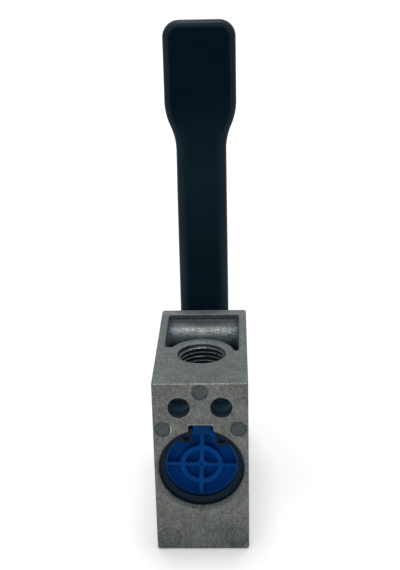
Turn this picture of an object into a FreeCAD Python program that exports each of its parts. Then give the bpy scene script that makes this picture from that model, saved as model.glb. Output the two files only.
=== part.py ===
import FreeCAD, Part
import math
import os
import Sketcher

# Hand-lever poppet valve, 3/2 way, in a die-cast block.
# The block stands on its base: X is its width, Y runs from the end cap in front to the lever at the
# rear, Z is up. The origin is the middle of the base face. Inside every sub-part, Y is counted from
# the block's front face and is called a station, and the valve's bore runs along Y at mid height.

DOCUMENT = FreeCAD.newDocument("hand_lever_valve")
SHEET = DOCUMENT.addObject("Spreadsheet::Sheet", "Sizes")

# Every driving dimension, in millimetres or degrees.
SIZES = {
    # Whole valve
    "overall_depth": 80.4,  # front face to the rear of the lever's hub, Y
    "overall_height": 161.1,  # base to the top of the lever, Z
    # Block
    "body_width": 30.0,  # across the block, X
    "body_height": 60.0,  # base to top face, Z
    "front_corner": 1.0,  # radius of the upright front edges
    "rear_corner": 1.0,  # radius of the upright rear edges
    "top_edge": 0.4,  # radius round the top face
    "foot_edge": 0.8,  # radius round the base face
    # Main bore
    "bore_radius": 13.5,  # bore that the end cap closes
    "bore_chamfer": 0.7,  # chamfer at the bore's mouth
    "notch_width": 8.0,  # key notch above the bore
    "notch_top": 15.65,  # bore axis to the notch's top
    "notch_depth": 5.4,  # front face to the notch's floor
    "notch_corner": 1.2,  # radius of the notch's upper corners
    "fit_gap": 0.05,  # radial gap of a piece that sits in a bore
    "seat_gap": 0.03,  # gap between two faces that rest on each other
    # Ports
    "port_station": 23.4,  # upper port, delivery
    "supply_station": 13.5,  # lower port, supply
    "port_radius": 8.0,  # M16 x 1.5 port, nominal radius
    "port_wall": 5.5,  # port's floor to the bore
    "port_chamfer": 0.6,  # chamfer at the port's mouth
    "passage_radius": 3.0,  # drilling from port to bore
    "port_boss_radius": 10.7,  # wall round the upper port
    "vent_radius": 2.0,  # exhaust drilling into the lower pocket
    "vent_setback": 4.0,  # rear bore's floor to the exhaust drilling
    # Cast pockets
    "side_wall": 2.7,  # wall beside a pocket
    "rear_wall": 4.2,  # wall behind a pocket
    "pocket_depth": 16.0,  # top or base face to the pocket's floor
    "left_lobe": 4.3,  # upper pocket's left end, behind the port axis
    "right_lobe": 1.0,  # upper pocket's right end, behind the port axis
    "pocket_corner": 1.5,  # radius of the pocket's upright corners
    "rim_edge": 0.3,  # rounded rim of a pocket
    "floor_edge": 0.6,  # radius round a pocket's floor
    "boss_corner": 0.8,  # radius where the port's wall meets a lobe
    "lower_pocket_length": 23.3,  # lower pocket, front to rear
    # Cross bosses
    "cross_setback": 8.2,  # rear face to the mounting hole across the block
    "cross_drop": 8.3,  # top or base face to that hole's axis
    "cross_radius": 6.6,  # cast wall round the hole
    "cross_hole_radius": 4.25,  # hole for an M8 screw
    "cross_blend": 0.8,  # radius where the wall meets the block's sides
    "cross_chamfer": 0.4,  # chamfer at that hole's ends
    # Blind holes in front
    "blind_radius": 3.5,  # hole radius
    "blind_spacing": 13.26,  # hole to hole
    "blind_drop": 8.3,  # top face to the holes' axes
    "blind_depth": 12.0,  # hole depth
    # Ejector marks
    "mark_depth": 0.12,  # depth of the round marks
    "small_mark_radius": 2.4,  # three upper marks
    "large_mark_radius": 3.6,  # two lower marks
    "side_mark_offset": 11.9,  # middle to an upper side mark
    "side_mark_rise": 14.25,  # bore axis to an upper side mark
    "top_mark_drop": 3.0,  # top face to the middle mark
    "low_mark_offset": 10.85,  # middle to a lower mark
    "low_mark_rise": 4.6,  # base to a lower mark
    # Rear bore
    "rear_bore_radius": 9.0,  # bore for spring and guide
    "rod_radius": 4.0,  # tappet's rod
    "rod_clearance": 0.03,  # radial running gap round the rod
    # Retaining rings
    "ring_setback": 1.55,  # front face to the front ring
    "ring_thickness": 1.2,  # front ring
    "ring_groove_play": 0.1,  # groove width over the ring's thickness
    "ring_groove_reach": 0.7,  # groove depth in the bore's wall
    "ring_inner_radius": 11.55,  # front ring's inner outline
    "ring_eccentricity": 0.6,  # inner outline towards the gap
    "lug_circle": 11.45,  # bore axis to a lug hole
    "lug_half_angle": 29.5,  # ring's gap direction to a lug hole, degrees
    "lug_radius": 2.1,  # lug's rounded end
    "lug_flat": 0.21,  # lug's rounded end cut flat at the ring's gap
    "lug_blend": 1.2,  # radius where the lug leaves the ring
    "lug_hole_radius": 1.0,  # hole for the pliers
    "ring_turn": 5.2,  # front ring turned clockwise, degrees
    "rear_ring_setback": 1.6,  # rear face to the rear ring
    "rear_ring_thickness": 1.0,  # rear ring
    "rear_groove_reach": 0.5,  # rear groove depth
    "rear_ring_inner_radius": 7.75,  # rear ring's inner outline
    "rear_ring_eccentricity": 0.35,  # inner outline towards the gap
    "rear_lug_circle": 7.0,  # bore axis to a rear lug hole
    "rear_lug_half_angle": 35.0,  # rear ring's gap direction to a lug hole, degrees
    "rear_lug_radius": 1.55,  # rear lug's rounded end
    "rear_lug_hole_radius": 0.8,  # rear hole for the pliers
    "rear_lug_join": 0.04,  # rear ring left beside each lug's rounded end
    # End cap
    "cap_turn": 1.9,  # cap turned clockwise in its bore, degrees
    "rib_setback": 3.0,  # front face to the ribs
    "rib_height": 2.2,  # ribs above the recess
    "cap_web": 2.0,  # wall behind the recess
    "rim_radius": 11.95,  # outer radius of the rim
    "rim_width": 0.85,  # rim, measured across
    "hub_rib_radius": 6.8,  # outer radius of the ring rib
    "hub_rib_width": 1.5,  # ring rib, measured across
    "upright_rib": 1.35,  # width of the upright rib
    "level_rib": 1.0,  # width of the level rib
    "rib_blend": 1.0,  # radius where the ribs cross, below the level rib
    "upper_rib_blend": 1.7,  # the same above the level rib
    "ring_rib_blend": 0.6,  # radius where the ribs meet the ring rib
    "lug_pad_shift": 0.35,  # ring lug's hole to its raised pad's middle, towards the bore axis
    "gate_radius": 0.65,  # moulding gate dimple
    "gate_depth": 0.4,  # moulding gate dimple
    "tab_width": 5.6,  # key tab
    "tab_bottom": 12.1,  # bore axis to the tab's lower edge
    "tab_top": 15.35,  # bore axis to the tab's top
    "tab_setback": 0.7,  # front face to the tab
    "tab_corner": 0.5,  # radius of the tab's corners
    "skirt_inner_radius": 10.3,  # inside the cap's skirt
    "skirt_end": 10.65,  # rear end of the skirt
    "post_radius": 4.0,  # post that guides the poppet
    "post_end": 12.6,  # rear end of the post
    # Seals
    "cap_seal_radius": 0.87,  # end cap's O-ring, section
    "sleeve_seal_radius": 0.83,  # sleeve's O-ring, section
    "post_seal_radius": 0.54,  # post's O-ring, section
    "rod_seal_radius": 0.48,  # tappet's O-ring, section
    "post_seal_proud": 0.08,  # post's O-ring beyond the post
    "groove_play": 0.25,  # groove end to O-ring, each side
    "seal_gap": 0.02,  # O-ring to the walls it lies between
    "cap_seal_station": 8.35,  # middle of the cap's O-ring
    "sleeve_seal_station": 18.3,  # middle of the sleeve's O-ring
    "post_seal_station": 11.3,  # middle of the post's O-ring
    # Seat sleeve
    "chamber_radius": 10.6,  # supply chamber in the sleeve
    "seat_station": 17.5,  # front of the sleeve's web
    "seat_web": 2.2,  # thickness of that web
    "seat_opening": 5.2,  # radius of the opening
    "lip_width": 1.0,  # seat lip, measured across
    "lip_height": 0.8,  # seat lip above the web
    "delivery_radius": 9.6,  # delivery chamber in the sleeve
    "annulus_radius": 12.3,  # floor of the outer channels
    "supply_channel_start": 11.9,  # front of the supply channel
    "supply_channel_end": 16.2,  # rear of the supply channel
    "delivery_channel_start": 20.8,  # front of the delivery channel
    "delivery_channel_end": 26.0,  # rear of the delivery channel
    "sleeve_land": 1.8,  # sleeve behind the delivery channel
    "supply_window": 1.8,  # radius of a supply window
    "delivery_window": 2.2,  # radius of a delivery window
    # Poppet
    "poppet_tube_start": 10.5,  # front end of the poppet's tube
    "poppet_tube_radius": 5.5,  # outside of the tube
    "poppet_disc_start": 14.2,  # front of the poppet's disc
    "poppet_disc_radius": 8.6,  # poppet's disc
    "poppet_floor": 14.8,  # end of the tube's hollow
    "poppet_rubber_radius": 7.6,  # rubber disc
    "poppet_rubber_thickness": 1.0,  # rubber disc
    "poppet_rim": 0.6,  # disc's rim round the rubber
    "poppet_seat_gap": 0.1,  # rubber to the seat's lip
    "poppet_slide_gap": 0.15,  # post to the poppet's hollow
    # Tappet
    "nose_radius": 3.6,  # exhaust seat at the tappet's nose
    "nose_length": 4.0,  # thin part of the nose
    "exhaust_radius": 2.2,  # hollow in the tappet
    "exhaust_reach": 2.0,  # that hollow beyond the cross drilling
    "exhaust_gap": 1.1,  # nose to the poppet's rubber
    "outlet_setback": 3.0,  # rear bore's floor to the tappet's cross drilling
    "outlet_radius": 1.2,  # that drilling
    "collar_radius": 8.6,  # spring collar
    "collar_thickness": 3.0,  # spring collar
    "tail_radius": 5.0,  # tappet's tail
    "tail_clearance": 0.06,  # radial running gap round the tail
    "guide_gap": 0.1,  # collar to guide at rest
    "guide_length": 6.1,  # guide along the tail
    "wiper_thickness": 1.8,  # dust wiper
    "wiper_gap": 0.1,  # wiper's lip to the guide's bore
    "wiper_front_flare": 0.8,  # wiper's hollow front, from the lip outwards
    "wiper_rear_flare": 1.2,  # wiper's sloped rear, from the lip outwards
    "wiper_lip_slope": 0.3,  # height of that slope
    "button_radius": 5.4,  # thrust button's head
    "button_head": 1.56,  # thrust button's head, thickness
    "button_stem": 4.5,  # thrust button's stem, length
    "button_chamfer": 0.4,  # thrust button's edge
    "button_clearance": 0.12,  # thrust button to the lever's hub
    # Springs
    "washer_thickness": 0.75,  # washer under the return spring
    "washer_clearance": 0.3,  # radial gap of the washer round the rod
    "return_wire": 0.6,  # return spring, wire radius
    "return_mean": 6.6,  # return spring, mean radius
    "return_turns": 3.0,  # return spring, turns, so that its coils stay apart at full stroke
    "return_length": 8.3,  # return spring at rest
    "poppet_wire": 0.4,  # poppet spring, wire radius
    "poppet_mean": 6.6,  # poppet spring, mean radius
    "poppet_turns": 4.5,  # poppet spring, turns
    "spring_gap": 0.1,  # spring's end to its seat
    # Hinge
    "lever_gap": 3.4,  # rear face to the lever's front plane
    "pivot_rise": 1.8,  # bore axis to the pivot
    "hub_radius": 8.5,  # lever's eccentric hub
    "hub_offset": 1.5,  # hub centre behind and below the pivot
    "ear_radius": 8.5,  # rounded end of an ear
    "ear_thickness": 4.7,  # ear, measured along the pin
    "ear_clearance": 0.5,  # lever to ear
    "ear_root": 1.5,  # radius where an ear leaves the block
    "ear_edge": 0.5,  # rounded edges of an ear
    "pin_radius": 3.0,  # hinge pin
    "pin_clearance": 0.02,  # radial gap of the pin in the ears
    "pin_end": 0.3,  # pin beyond each clip
    "clip_radius": 5.5,  # pin clip
    "clip_thickness": 0.7,  # pin clip
    "clip_groove_radius": 2.5,  # groove in the pin
    "clip_opening": 4.2,  # mouth of the clip
    "bush_wall": 1.0,  # bush in the lever's hub
    "bush_clearance": 0.04,  # radial running gap on the pin
    "bush_flange_radius": 5.6,  # flange of the bush
    "bush_flange": 0.8,  # flange thickness
    "bush_proud": 0.15,  # flange beyond the hub's side
    "bush_length": 6.0,  # bush inside the hub
    # Lever
    "shaft_width": 17.4,  # lever's shaft and hub, across
    "shaft_thickness": 7.0,  # lever's shaft, front to rear
    "paddle_width": 24.7,  # paddle, across
    "paddle_length": 27.0,  # full width part of the paddle
    "paddle_thickness": 5.8,  # paddle, front to rear
    "paddle_corner": 5.6,  # radius of the paddle's upper corners
    "flare_angle": 24.0,  # steepest part of the flare, degrees
    "bend_start": 63.0,  # pivot to the bend in the shaft
    "bend_radius": 80.0,  # both curves of the bend
    "bend_angle": 9.0,  # slope between the two curves, degrees
    "lever_edge": 2.4,  # rounded edges of shaft and paddle
    "root_rise": 30.0,  # pivot to the top of the thick root
    "root_thickness": 12.0,  # lever's thickness at the pivot
    "hub_edge": 0.5,  # chamfer on the hub's sides
    # Strainer
    "strainer_radius": 3.5,  # counterbore for the strainer
    "strainer_height": 2.9,  # strainer cup
    "strainer_wall": 0.5,  # strainer cup's wall
    "strainer_hole": 0.5,  # radius of a strainer hole
    "strainer_circle": 1.9,  # circle of strainer holes
}


class Size:
    """A number together with the sheet expression that it comes from."""

    def __init__(self, number, text):
        self.number = number
        self.text = text

    def __add__(self, other):
        other = as_size(other)
        return Size(self.number + other.number, f"({self.text} + {other.text})")

    def __sub__(self, other):
        other = as_size(other)
        return Size(self.number - other.number, f"({self.text} - {other.text})")

    def __mul__(self, other):
        other = as_size(other)
        return Size(self.number * other.number, f"({self.text} * {other.text})")

    def __truediv__(self, other):
        other = as_size(other)
        return Size(self.number / other.number, f"({self.text} / {other.text})")

    def __neg__(self):
        return self * -1

    def __rsub__(self, other):
        return as_size(other) - self


def as_size(value):
    return value if isinstance(value, Size) else Size(float(value), repr(float(value)))


def sine(angle):
    return Size(math.sin(math.radians(angle.number)), f"sin({angle.text})")


def cosine(angle):
    return Size(math.cos(math.radians(angle.number)), f"cos({angle.text})")


class Dimensions:
    """The sheet's cells as attributes."""


def fill_sheet():
    dims = Dimensions()
    for row, (name, value) in enumerate(SIZES.items(), 1):
        SHEET.set(f"A{row}", name.replace("_", " "))
        SHEET.set(f"B{row}", str(value))
        SHEET.setAlias(f"B{row}", name)
        setattr(dims, name, Size(value, f"Sizes.{name}"))
    DOCUMENT.recompute()
    return dims


D = fill_sheet()

# Places that several pieces share.
LEVER_PLANE = D.overall_depth - D.hub_radius * 2
BODY_DEPTH = LEVER_PLANE - D.lever_gap
BORE_HEIGHT = D.body_height / 2
FRONT_FACE = -BODY_DEPTH / 2
PORT_DEPTH = BORE_HEIGHT - D.bore_radius - D.port_wall
EAR_INSIDE = D.shaft_width / 2 + D.ear_clearance
EAR_OUTSIDE = EAR_INSIDE + D.ear_thickness
PIVOT_STATION = LEVER_PLANE + D.hub_radius - D.hub_offset
PIVOT_HEIGHT = BORE_HEIGHT + D.pivot_rise
LEVER_LENGTH = D.overall_height - PIVOT_HEIGHT
CROSS_STATION = BODY_DEPTH - D.cross_setback
RING_BACK = D.ring_setback + D.ring_thickness
REAR_RING_FRONT = BODY_DEPTH - D.rear_ring_setback - D.rear_ring_thickness
WIPER_REAR = REAR_RING_FRONT - D.seat_gap
WIPER_FRONT = WIPER_REAR - D.wiper_thickness
GUIDE_REAR = WIPER_FRONT - D.seat_gap
GUIDE_FRONT = GUIDE_REAR - D.guide_length
COLLAR_END = GUIDE_FRONT - D.guide_gap
COLLAR_START = COLLAR_END - D.collar_thickness
WASHER_REAR = COLLAR_START - D.return_length - D.spring_gap * 2
WASHER_FRONT = WASHER_REAR - D.washer_thickness
REAR_BORE_START = WASHER_FRONT - D.seat_gap
SLEEVE_REAR = D.delivery_channel_end + D.sleeve_land
BORE_DEPTH = SLEEVE_REAR + D.seat_gap
ROD_SEAL_STATION = (BORE_DEPTH + REAR_BORE_START) / 2
OUTLET_STATION = REAR_BORE_START + D.outlet_setback
LOWER_POCKET_FRONT = BODY_DEPTH - D.rear_wall - D.lower_pocket_length
RECESS_STATION = D.rib_setback + D.rib_height
WEB_STATION = RECESS_STATION + D.cap_web
LIP_STATION = D.seat_station - D.lip_height
RUBBER_STATION = LIP_STATION - D.poppet_seat_gap
NOSE_STATION = RUBBER_STATION + D.exhaust_gap
BUTTON_FACE = LEVER_PLANE - D.button_clearance
TAIL_END = BUTTON_FACE - D.button_head


def bind(thing, path, size):
    """Tie a property to the sheet."""
    thing.setExpression(path, as_size(size).text)


def new_body(label, station=FRONT_FACE, height=0.0, turn=None):
    """A body whose Y is counted from the front face, at a height above the base."""
    body = DOCUMENT.addObject("PartDesign::Body", label)
    body.Label = label
    bind(body, "Placement.Base.y", station)
    bind(body, "Placement.Base.z", height)
    if turn is not None:
        body.Placement.Rotation = FreeCAD.Rotation(FreeCAD.Vector(0, 1, 0), turn.number)
        bind(body, "Placement.Rotation.Angle", turn)
    return body


def origin_feature(body, role):
    return next(item for item in body.Origin.OriginFeatures if item.Role == role)


def new_sketch(body, plane, name, offset=None):
    """A sketch on one of the body's own planes, moved along the plane's normal."""
    sketch = body.newObject("Sketcher::SketchObject", name)
    sketch.AttachmentSupport = [(origin_feature(body, plane), "")]
    sketch.MapMode = "FlatFace"
    if offset is not None:
        bind(sketch, "AttachmentOffset.Base.z", offset)
    return sketch


def across(body, name, station=0.0):
    """Sketch across the bore: x is X, y is Z, at a station."""
    return new_sketch(body, "XZ_Plane", name, -as_size(station))


def from_side(body, name, x=0.0):
    """Sketch seen from the side: x is Y, y is Z."""
    return new_sketch(body, "YZ_Plane", name, as_size(x))


def from_above(body, name, z=0.0):
    """Sketch seen from above: x is X, y is Y."""
    return new_sketch(body, "XY_Plane", name, as_size(z))


def vector(place):
    return FreeCAD.Vector(place[0].number, place[1].number, 0)


def hold_point(sketch, geometry, point, place):
    """Fix a point of the sketch at sizes counted from its origin."""
    for size, kind, axis in ((place[0], "DistanceX", -2), (place[1], "DistanceY", -1)):
        if size.text == "0.0":
            sketch.addConstraint(Sketcher.Constraint("PointOnObject", geometry, point, axis))
            continue
        constraint = Sketcher.Constraint(kind, -1, 1, geometry, point, size.number)
        bind(sketch, f"Constraints[{sketch.addConstraint(constraint)}]", size)


def hold_radius(sketch, geometry, radius):
    constraint = Sketcher.Constraint("Radius", geometry, radius.number)
    bind(sketch, f"Constraints[{sketch.addConstraint(constraint)}]", radius)


def circle(sketch, x, y, radius):
    place = (as_size(x), as_size(y))
    radius = as_size(radius)
    shape = Part.Circle(vector(place), FreeCAD.Vector(0, 0, 1), radius.number)
    geometry = sketch.addGeometry(shape, False)
    hold_point(sketch, geometry, 3, place)
    hold_radius(sketch, geometry, radius)


def arc_between(start, end, radius, turn):
    """The short arc from start to end that bends left (turn 1) or right (turn -1)."""
    chord = end - start
    half = chord.Length / 2
    rise = math.sqrt(max(radius * radius - half * half, 0.0))
    left = FreeCAD.Vector(-chord.y, chord.x, 0).normalize()
    centre = start + chord * 0.5 + left * (rise * turn)
    first, last = (start, end) if turn > 0 else (end, start)
    low = math.atan2(first.y - centre.y, first.x - centre.x)
    high = math.atan2(last.y - centre.y, last.x - centre.x)
    if high < low:
        high += 2 * math.pi
    return Part.ArcOfCircle(Part.Circle(centre, FreeCAD.Vector(0, 0, 1), radius), low, high)


def outline(sketch, corners):
    """A closed outline. A corner is (x, y), or (x, y, radius, turn) where an arc leads to it."""
    places = [(as_size(corner[0]), as_size(corner[1])) for corner in corners]
    sides = []
    for number, corner in enumerate(corners):
        start = vector(places[number - 1])
        end = vector(places[number])
        if len(corner) == 2:
            geometry = sketch.addGeometry(Part.LineSegment(start, end), False)
            sides.append((geometry, 1, 2))
            continue
        radius = as_size(corner[2])
        turn = corner[3]
        geometry = sketch.addGeometry(arc_between(start, end, radius.number, turn), False)
        sides.append((geometry, 1, 2) if turn > 0 else (geometry, 2, 1))
        hold_radius(sketch, geometry, radius)
    for number, place in enumerate(places):
        geometry, _, last = sides[number]
        following, first, _ = sides[(number + 1) % len(sides)]
        sketch.addConstraint(Sketcher.Constraint("Coincident", geometry, last, following, first))
        hold_point(sketch, geometry, last, place)


def rectangle(sketch, left, bottom, right, top):
    outline(sketch, [(left, bottom), (right, bottom), (right, top), (left, top)])


def settled(feature):
    """Recompute and stop at a feature that failed."""
    DOCUMENT.recompute()
    if "Invalid" in feature.State or "Error" in feature.State or feature.Shape.isNull():
        raise RuntimeError(f"{feature.Name} is {feature.State}")
    return feature


def pad(body, sketch, length, symmetric=False, backwards=False, taper=0.0):
    feature = body.newObject("PartDesign::Pad", sketch.Name + "_pad")
    feature.Profile = sketch
    feature.SideType = "Symmetric" if symmetric else "One side"
    feature.Reversed = backwards
    feature.TaperAngle = taper
    bind(feature, "Length", length)
    return settled(feature)


def pocket(body, sketch, length, symmetric=False, backwards=False):
    feature = body.newObject("PartDesign::Pocket", sketch.Name + "_pocket")
    feature.Profile = sketch
    feature.SideType = "Symmetric" if symmetric else "One side"
    feature.Reversed = backwards
    bind(feature, "Length", length)
    return settled(feature)


def revolve(body, sketch, axis="V_Axis"):
    feature = body.newObject("PartDesign::Revolution", sketch.Name + "_turned")
    feature.Profile = sketch
    feature.ReferenceAxis = (sketch, [axis])
    feature.Angle = 360
    return settled(feature)


def polar_copies(body, feature, role, count, angle):
    pattern = body.newObject("PartDesign::PolarPattern", feature.Name + "_copies")
    pattern.Originals = [feature]
    pattern.Axis = (origin_feature(body, role), [""])
    pattern.Angle = angle
    pattern.Occurrences = count
    body.Tip = pattern
    return settled(pattern)


def edges_where(feature, wanted):
    """Names of the feature's edges that a test on the edge picks."""
    return [f"Edge{n}" for n, edge in enumerate(feature.Shape.Edges, 1) if wanted(edge)]


def round_edges(body, feature, wanted, radius):
    names = edges_where(feature, wanted)
    if not names:
        raise RuntimeError(f"{feature.Name} has no edge to round")
    fillet = body.newObject("PartDesign::Fillet", feature.Name + "_round")
    fillet.Base = (feature, names)
    bind(fillet, "Radius", radius)
    return settled(fillet)


def chamfer_edges(body, feature, wanted, size):
    names = edges_where(feature, wanted)
    if not names:
        raise RuntimeError(f"{feature.Name} has no edge to chamfer")
    chamfer = body.newObject("PartDesign::Chamfer", feature.Name + "_chamfer")
    chamfer.Base = (feature, names)
    bind(chamfer, "Size", size)
    return settled(chamfer)


def near(value, size, margin=0.02):
    return abs(value - as_size(size).number) < margin


def flat(length):
    """True for an edge's extent along an axis that it doesn't run along."""
    return near(length, 0.0)


def is_mouth(edge, axis, place, radius):
    """True for the full circle of a radius that lies across an axis at a place on it."""
    box = edge.BoundBox
    along = {"X": (box.XMin, box.XMax), "Y": (box.YMin, box.YMax), "Z": (box.ZMin, box.ZMax)}
    lengths = {"X": box.XLength, "Y": box.YLength, "Z": box.ZLength}
    across_axis = [length for name, length in lengths.items() if name != axis]
    in_place = all(near(end, place) for end in along[axis])
    return in_place and all(near(length, radius * 2) for length in across_axis)


def turned_piece(label, corners, height=BORE_HEIGHT, turn=None):
    """A round piece on the bore's axis. A corner is (radius, station)."""
    body = new_body(label, height=height, turn=turn)
    sketch = from_above(body, label + "_profile")
    outline(sketch, corners)
    revolve(body, sketch)
    return body


def o_ring(label, mean_radius, station, section):
    body = new_body(label, height=BORE_HEIGHT)
    sketch = from_above(body, label + "_section")
    circle(sketch, mean_radius, station, section)
    revolve(body, sketch)
    return body


def retaining_ring(label, station, thickness, outer, inner, shift, lug, turn=None, blend=None):
    """An internal ring with two lugs.

    lug holds its circle, half angle, end radius, hole radius and the ring left beside it.
    """
    lug_circle, half_angle, lug_end, lug_hole, beside = lug
    lug_x = lug_circle * sine(half_angle)
    lug_z = lug_circle * cosine(half_angle)
    gap = lug_x - lug_end - beside
    body = new_body(label, height=BORE_HEIGHT, turn=turn)
    sketch = across(body, label + "_disc", station)
    circle(sketch, 0.0, 0.0, outer)
    pad(body, sketch, thickness, backwards=True)
    sketch = across(body, label + "_inside", station)
    circle(sketch, 0.0, shift, inner)
    pocket(body, sketch, thickness)
    for side, name in ((-1, "left"), (1, "right")):
        sketch = across(body, f"{label}_{name}_lug", station)
        circle(sketch, lug_x * side, lug_z, lug_end)
        pad(body, sketch, thickness, backwards=True)
    sketch = across(body, label + "_gap", station)
    rectangle(sketch, -gap, lug_z - lug_end * 2, gap, outer + lug_hole)
    pocket(body, sketch, thickness)
    sketch = across(body, label + "_holes", station)
    for side in (-1, 1):
        circle(sketch, lug_x * side, lug_z, lug_hole)
    ring = pocket(body, sketch, thickness)

    def at_lug_root(edge):
        box = edge.BoundBox
        from_lug = math.hypot(abs(box.Center.x) - lug_x.number, box.Center.z - lug_z.number)
        along = near(box.YLength, thickness) and flat(box.XLength) and flat(box.ZLength)
        return along and near(from_lug, lug_end) and abs(box.Center.x) > lug_x.number

    if blend is not None:
        round_edges(body, ring, at_lug_root, blend)
    return body


def coil_spring(label, mean_radius, wire, start, end, turns):
    body = new_body(label, height=BORE_HEIGHT)
    sketch = from_above(body, label + "_wire")
    circle(sketch, mean_radius, start + wire, wire)
    helix = body.newObject("PartDesign::AdditiveHelix", label + "_coil")
    helix.Profile = sketch
    helix.ReferenceAxis = (sketch, ["V_Axis"])
    helix.Mode = "height-turns-angle"
    bind(helix, "Height", end - start - wire * 2)
    bind(helix, "Turns", turns)
    settled(helix)
    return body


# The block
def block_with_rounded_edges(body):
    sketch = from_above(body, "block")
    half = D.body_width / 2
    rectangle(sketch, -half, 0.0, half, BODY_DEPTH)
    block = pad(body, sketch, D.body_height)

    def upright(edge, station):
        box = edge.BoundBox
        return near(box.ZLength, D.body_height) and near(box.Center.y, station)

    block = round_edges(body, block, lambda edge: upright(edge, 0.0), D.front_corner)
    block = round_edges(body, block, lambda edge: upright(edge, BODY_DEPTH), D.rear_corner)

    def level_at(edge, height):
        box = edge.BoundBox
        return flat(box.ZLength) and near(box.ZMin, height)

    block = round_edges(body, block, lambda edge: level_at(edge, D.body_height), D.top_edge)
    round_edges(body, block, lambda edge: level_at(edge, 0.0), D.foot_edge)


def round_rim(body, feature, height, radius):
    """Round the edges that bound a pocket at a height, inside the block's walls."""
    walls = ((D.body_width - D.side_wall) / 2).number
    behind = (BODY_DEPTH - D.rear_wall / 2).number

    def on_rim(edge):
        box = edge.BoundBox
        level = flat(box.ZLength) and near(box.ZMin, height)
        return level and abs(box.Center.x) < walls and box.YMax < behind

    return round_edges(body, feature, on_rim, radius)


def pocket_edges(edge, low, high, front):
    """An upright edge of a pocket that spans low to high, behind front."""
    box = edge.BoundBox
    straight = flat(box.XLength) and flat(box.YLength)
    inside = abs(box.Center.x) < (D.body_width - D.side_wall).number / 2
    return straight and inside and near(box.ZMin, low) and near(box.ZMax, high) and box.Center.y > front


def cast_pockets(body):
    inside = D.body_width / 2 - D.side_wall
    rear = BODY_DEPTH - D.rear_wall
    top = D.body_height
    floor = D.body_height - D.pocket_depth
    left = D.port_station + D.left_lobe
    right = D.port_station + D.right_lobe

    sketch = from_above(body, "upper_pocket", top)
    outline(sketch, [(-inside, left), (0.0, left), (0.0, right), (inside, right),
                     (inside, rear), (-inside, rear)])
    cut = pocket(body, sketch, D.pocket_depth)

    front = (right - D.boss_corner).number

    def outer_corner(edge):
        on_side = near(abs(edge.BoundBox.Center.x), inside)
        return on_side and pocket_edges(edge, floor, top, front)

    round_edges(body, cut, outer_corner, D.pocket_corner)

    sketch = from_above(body, "port_wall", floor)
    circle(sketch, 0.0, D.port_station, D.port_boss_radius)
    wall = pad(body, sketch, D.pocket_depth)

    def wall_meets_lobe(edge):
        away = math.hypot(edge.BoundBox.Center.x, edge.BoundBox.Center.y - D.port_station.number)
        return pocket_edges(edge, floor, top, front) and near(away, D.port_boss_radius)

    cut = round_edges(body, wall, wall_meets_lobe, D.boss_corner)
    cut = round_rim(body, cut, top, D.rim_edge)
    round_rim(body, cut, floor, D.floor_edge)

    sketch = from_above(body, "lower_pocket")
    rectangle(sketch, -inside, LOWER_POCKET_FRONT, inside, rear)
    cut = pocket(body, sketch, D.pocket_depth, backwards=True)
    front = (LOWER_POCKET_FRONT - D.boss_corner).number
    cut = round_edges(body, cut, lambda edge: pocket_edges(edge, 0.0, D.pocket_depth, front),
                      D.pocket_corner)
    cut = round_rim(body, cut, 0.0, D.rim_edge)
    round_rim(body, cut, D.pocket_depth, D.floor_edge)


def cross_bosses(body):
    """The cast walls round the two mounting holes that cross the block."""
    inside = D.body_width / 2 - D.side_wall
    near_side = CROSS_STATION - D.cross_radius
    far_side = CROSS_STATION + D.cross_radius
    high = D.body_height - D.cross_drop
    floor = D.body_height - D.pocket_depth
    sketch = from_side(body, "upper_cross_boss")
    outline(sketch, [(near_side, floor), (far_side, floor), (far_side, high),
                     (CROSS_STATION, high + D.cross_radius, D.cross_radius, 1),
                     (near_side, high, D.cross_radius, 1)])
    pad(body, sketch, inside * 2, symmetric=True)
    sketch = from_side(body, "lower_cross_boss")
    outline(sketch, [(far_side, D.pocket_depth), (near_side, D.pocket_depth), (near_side, D.cross_drop),
                     (CROSS_STATION, D.cross_drop - D.cross_radius, D.cross_radius, 1),
                     (far_side, D.cross_drop, D.cross_radius, 1)])
    boss = pad(body, sketch, inside * 2, symmetric=True)

    def boss_meets_side(edge):
        box = edge.BoundBox
        over_hole = near(box.ZMax, high + D.cross_radius)
        return over_hole and flat(box.XLength) and near(abs(box.Center.x), inside)

    round_edges(body, boss, boss_meets_side, D.cross_blend)
    sketch = from_side(body, "cross_holes")
    circle(sketch, CROSS_STATION, high, D.cross_hole_radius)
    circle(sketch, CROSS_STATION, D.cross_drop, D.cross_hole_radius)
    holes = pocket(body, sketch, D.body_width * 2, symmetric=True)

    def hole_end(edge):
        side = D.body_width / 2
        return any(is_mouth(edge, "X", end, D.cross_hole_radius) for end in (-side, side))

    chamfer_edges(body, holes, hole_end, D.cross_chamfer)


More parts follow.
